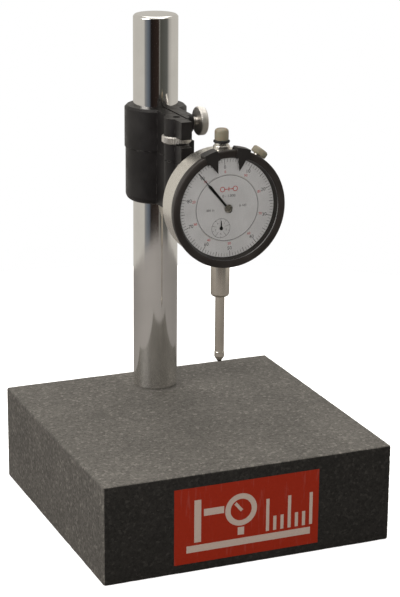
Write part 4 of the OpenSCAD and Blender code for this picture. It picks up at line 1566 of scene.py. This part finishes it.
@dataclass
class Hands:
    """The long pointer with its hub, and the turn counter's small hand."""

    axis: DialAxis
    pointer_angle: float = 40.0
    length: float = 24.85
    thick_share: float = 0.68
    tail: float = 2.4
    boss_r: float = 1.9
    hub_r: float = 2.1

    def pointer(self) -> None:
        """Cuts the tapered pointer and its boss."""
        back, front = self.axis.depth_of("main_pointer")
        thick = self.length * self.thick_share
        blade = Shape.plate([
            (-0.75, -self.tail), (0.75, -self.tail), (0.5, 0), (0.72, thick - 1.5), (0.18, thick),
            (0.13, self.length), (-0.13, self.length), (-0.18, thick), (-0.72, thick - 1.5), (-0.5, 0),
        ], front - back - 0.04, 0.05)
        blade.add(Shape.turned([
            (0, 0), (self.boss_r, 0), (self.boss_r, front - back, 0.1), (0, front - back),
        ], 48))
        piece = blade.seated("pointer", self.axis.at(back, self.pointer_angle), POINTER_BLACK)
        fit(piece, "centre_arbor_group", "black_hand", "main_pointer")

    def hub(self) -> None:
        """Turns the domed hub."""
        back, front = self.axis.depth_of("pointer_hub")
        height = front - back
        dome = Shape.turned([
            (0, 0), (self.hub_r, 0), (self.hub_r, height * 0.5, 0.08), (1.3, height * 0.92, 0.3),
            (0.8, height, 0.2), (0.75, height - 0.12), (0, height - 0.1),
        ], 64)
        piece = dome.seated("pointer_cap", self.axis.at(back), HUB)
        fit(piece, "centre_arbor_group", "brass_parts", "pointer_hub")

    def small_hand(self) -> None:
        """Cuts the counter's hand."""
        back, front = self.axis.depth_of("counter_hand")
        tall = front - back
        blade = Shape.plate([(-0.45, 0), (0.45, 0), (0.12, 3.9), (-0.12, 3.9)], tall - 0.04, 0.03)
        blade.add(Shape.turned([(0, 0), (0.9, 0), (0.9, tall, 0.08), (0, tall)], 40))
        piece = blade.seated("counter_pointer", self.axis.at(back, 0, *COUNTER_AT), POINTER_BLACK)
        fit(piece, "rack_arbor_group", "black_hand", "counter_hand")

    def build(self) -> None:
        """Builds the hands."""
        self.pointer()
        self.hub()
        self.small_hand()


@dataclass
class BezelRing:
    """The black bezel with its crystal, limit markers and lock knob."""

    axis: DialAxis
    rim_r: float = 30.0
    back_r: float = 29.2
    lip_r: float = 26.4
    throat_r: float = 25.2
    bore_r: float = 27.08
    lock_angle: float = 38.0
    lock_depth: float = 1.7
    lock_span: tuple[float, float] = (30.8, 34.2)
    lock_r: float = 4.1
    lock_teeth: int = 30
    ledge_r: float = 26.0
    ledge_height: float = 1.2

    def ring(self) -> None:
        """Turns the bezel: a coned skirt, a rounded rim and a dished inner slope."""
        back, front = self.axis.depth_of("bezel")
        dial = self.axis.depth_of("dial_disc")[1] - back
        height = front - back
        turned = Shape.turned([
            (self.back_r, 0, 0.1), (self.rim_r, 3.4, 0.3), (self.rim_r, height - 0.55, 0.15),
            (self.rim_r - 0.7, height, 0.45), (self.lip_r + 0.8, height - 0.1, 0.35),
            (self.lip_r, height - 0.5, 0.15), (self.lip_r, height - 1.6), (self.throat_r, dial + 0.02),
            (self.ledge_r, dial + 0.02), (self.ledge_r, self.ledge_height),
            (self.bore_r, self.ledge_height), (self.bore_r, 0),
        ], 160, True)
        piece = turned.seated("bezel_ring", self.axis.at(back), BLACKENED)
        fit(piece, "bezel_group", "black_bezel", "bezel")

    def glass(self) -> None:
        """Turns the crystal, very slightly domed."""
        back, front = self.axis.depth_of("crystal")
        height = front - back
        radius = self.lip_r - 0.03
        lens = Shape.turned([
            (0, 0), (radius, 0), (radius, height - 0.25, 0.1), (18.0, height + 0.05, 6.0), (0, height + 0.12),
        ], 96)
        piece = lens.seated("crystal_disc", self.axis.at(back), CRYSTAL)
        fit(piece, "bezel_group", "clear_crystal", "crystal")

    def markers(self) -> None:
        """Eases the two limit markers."""
        for side in ("left", "right"):
            node, name = f"{side}_limit_marker", f"{side}_marker_clip"
            EasedPart(node, name, f"{side}_marker", "black_plastic", BLACK_PLASTIC, 0.12).build()

    def lock_knob(self) -> None:
        """Turns the ribbed lock knob on its radial axis."""
        low, high = self.lock_span
        radius = self.lock_r
        knob = Shape.turned([
            (0, high - 1.0), (1.35, high - 1.0), (1.35, low), (radius - 0.35, low),
            *steps_between(low + 0.3, high - 0.75, radius, 2), (radius - 0.75, high, 0.3),
            (radius - 1.6, high), (radius - 2.0, high - 0.15), (0, high - 0.15),
        ], self.lock_teeth * 4)
        knob.knurled(radius, low + 0.3, high - 0.75, self.lock_teeth, 0.14, Knurl.STRAIGHT)
        at = self.axis.at(self.lock_depth, -self.lock_angle) @ Matrix.Rotation(-math.pi / 2, 4, "X")
        fit(knob.seated("lock_button", at, BEIGE), "lock_knob", "beige_plastic", "bezel_lock_knob")

    def lock_screw(self) -> None:
        """Eases the lock's screw."""
        EasedPart("bezel_lock_screw", "lock_screw", "lock_knob", "plain_steel", STEEL, 0.12).build()

    def build(self) -> None:
        """Builds the bezel and what sits on it."""
        self.ring()
        self.glass()
        self.markers()
        self.lock_knob()
        self.lock_screw()


@dataclass
class Movement:
    """The parts kept as they are, inside the case and under the block."""

    brass: tuple[str, ...] = (
        "first_gear", "take_up_gear", "centre_bridge", "rack_bridge", "front_plate", "hairspring", "pillars",
    )

    def build(self) -> None:
        """Gives every part that still shows its finish."""
        for name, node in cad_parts.items():
            if node.hide_render:
                continue
            finish = BRASS if name in self.brass else STEEL
            node.data.materials.clear()
            node.data.materials.append(finish.material())
            LOG.info("%s finished in %s", name, finish.name)


# ---- Floor, light and camera ----

BRIGHT: Colour = (0.56, 0.535, 0.49)
BLUE_GREY: Colour = (0.13, 0.15, 0.175)
WARM_WHITE: Colour = (1.0, 0.98, 0.95)


@dataclass
class Studio:
    """A pale floor, a wrap of soft studio light and the camera."""

    floor_r: float = 460.0
    camera_at: tuple[float, float, float] = (-367.9, -890.3, 407.1)
    azimuth: float = 22.68
    dip: float = 16.93
    roll: float = 0.46
    lens: float = 119.47
    light_round: tuple[tuple[float, Colour], ...] = (
        (-180, BRIGHT), (-172, BRIGHT), (-166, (0.24, 0.24, 0.24)), (-150, BLUE_GREY),
        (-141, (0.08, 0.09, 0.11)), (-135, (0.012, 0.009, 0.008)), (-95, (0.03, 0.02, 0.016)),
        (-91, (0.25, 0.24, 0.22)), (-87, (0.07, 0.07, 0.06)), (-50, (0.11, 0.11, 0.1)),
        (-38, (0.42, 0.4, 0.37)), (-20, BRIGHT), (180, BRIGHT),
    )

    def floor(self) -> None:
        """Lays the floor: white to the camera and grey in reflections."""
        disc = Shape.turned([(0, -4), (self.floor_r, -4), (self.floor_r, 0, 1.5), (0, 0)], 96)
        piece = disc.seated("floor", HERE)
        coat = Coat("pale_floor")
        tone = coat.level(coat.cloud(6, 2), 0.86, 0.9, (0.3, 0.7))
        coat.set(Base_Color=tone, Roughness=0.9, Emission_Color=(1.0, 1.0, 1.0))
        coat.shader.inputs["Emission Strength"].default_value = 0.62
        shade = coat.add("ShaderNodeBsdfDiffuse")
        shade.inputs["Color"].default_value = (0.23, 0.22, 0.215, 1.0)
        coat.mix_out(coat.camera_sees(), shade.outputs["BSDF"], coat.shader.outputs["BSDF"])
        piece.data.materials.append(coat.material)

    def wrap(self) -> None:
        """Wraps the scene in studio light: bright behind and beside, dark in front."""
        world = bpy.data.worlds.new("studio")
        bpy.context.scene.world = world
        sky = NodeSketch(world, "ShaderNodeOutputWorld", "Generated")
        split = sky.add("ShaderNodeSeparateXYZ")
        sky.join(sky.place, split.inputs[0])
        angle = sky.maths("ARCTAN2", split.outputs["Y"], split.outputs["X"])
        around = sky.ramp(
            sky.level(angle, 0.0, 1.0, (-math.pi, math.pi)),
            [((degrees + 180) / 360, colour) for degrees, colour in self.light_round],
        )
        overhead = sky.level(split.outputs["Z"], 0.0, 1.0, (0.55, 0.8))
        wrap, plain = sky.add("ShaderNodeBackground"), sky.add("ShaderNodeBackground")
        sky.join(sky.blend(overhead, around, BRIGHT), wrap.inputs["Color"])
        plain.inputs["Color"].default_value = (1, 1, 1, 1)
        sky.mix_out(sky.camera_sees(), wrap.outputs["Background"], plain.outputs["Background"])

    def softbox(
        self, name: str, at: Sequence[float], size: float, watts: float, colour: Colour, mirrored: bool = True
    ) -> None:
        """Hangs a softbox that faces the stand.

        Args:
            name: Its name.
            at: Its place, in millimetres.
            size: Its width, in millimetres.
            watts: Its power.
            colour: Its colour.
            mirrored: Whether polished metal shows it.
        """
        light = bpy.data.lights.new(name, "AREA")
        light.size, light.energy, light.color = size * MM, watts, colour
        holder = bpy.data.objects.new(name, light)
        bpy.context.scene.collection.objects.link(holder)
        holder.visible_glossy = mirrored
        place, target = Vector(at) * MM, Vector((0, 0, 0.12))
        facing = (target - place).to_track_quat("-Z", "Y").to_matrix().to_4x4()
        holder.matrix_world = Matrix.Translation(place) @ facing

    def camera(self) -> None:
        """Sets up the camera."""
        lens = bpy.data.cameras.new("camera")
        lens.lens = self.lens
        lens.sensor_width = 36.0
        lens.clip_start, lens.clip_end = 0.05, 20.0
        holder = bpy.data.objects.new("camera", lens)
        bpy.context.scene.collection.objects.link(holder)
        azimuth, dip, roll = (math.radians(value) for value in (self.azimuth, self.dip, self.roll))
        ahead = Vector((math.sin(azimuth) * math.cos(dip), math.cos(azimuth) * math.cos(dip), -math.sin(dip)))
        level = Vector((math.cos(azimuth), -math.sin(azimuth), 0))
        above = level.cross(ahead)
        right = math.cos(roll) * level + math.sin(roll) * above
        top = math.cos(roll) * above - math.sin(roll) * level
        rotation = Matrix((right, top, -ahead)).transposed().to_4x4()
        holder.matrix_world = Matrix.Translation(Vector(self.camera_at) * MM) @ rotation
        bpy.context.scene.camera = holder

    def build(self) -> None:
        """Sets the stage."""
        bpy.context.scene.view_settings.view_transform = "Standard"
        self.camera()
        self.floor()
        self.wrap()
        self.softbox("left_softbox", (-900, -150, 700), 700, 7.0, (1.0, 0.97, 0.93))
        self.softbox("top_softbox", (150, 250, 1100), 900, 6.5, WARM_WHITE)
        self.softbox("front_fill", (-350, -1000, 450), 700, 7.5, WARM_WHITE, mirrored=False)


def main() -> None:
    """Builds the stand in order, then the stage around it."""
    logging.basicConfig(level=logging.INFO, format="%(name)s: %(message)s")
    Studio().build()
    axis = DialAxis()
    for assembly in (
        GraniteBase(), Column(), KnurledGrips(), Castings(), LugFastening(), IndicatorCase(axis),
        Plunger(axis), DialFace(axis), Hands(axis), BezelRing(axis), Movement(),
    ):
        LOG.info("building %s", type(assembly).__name__)
        assembly.build()


if __name__ == "__main__":
    main()
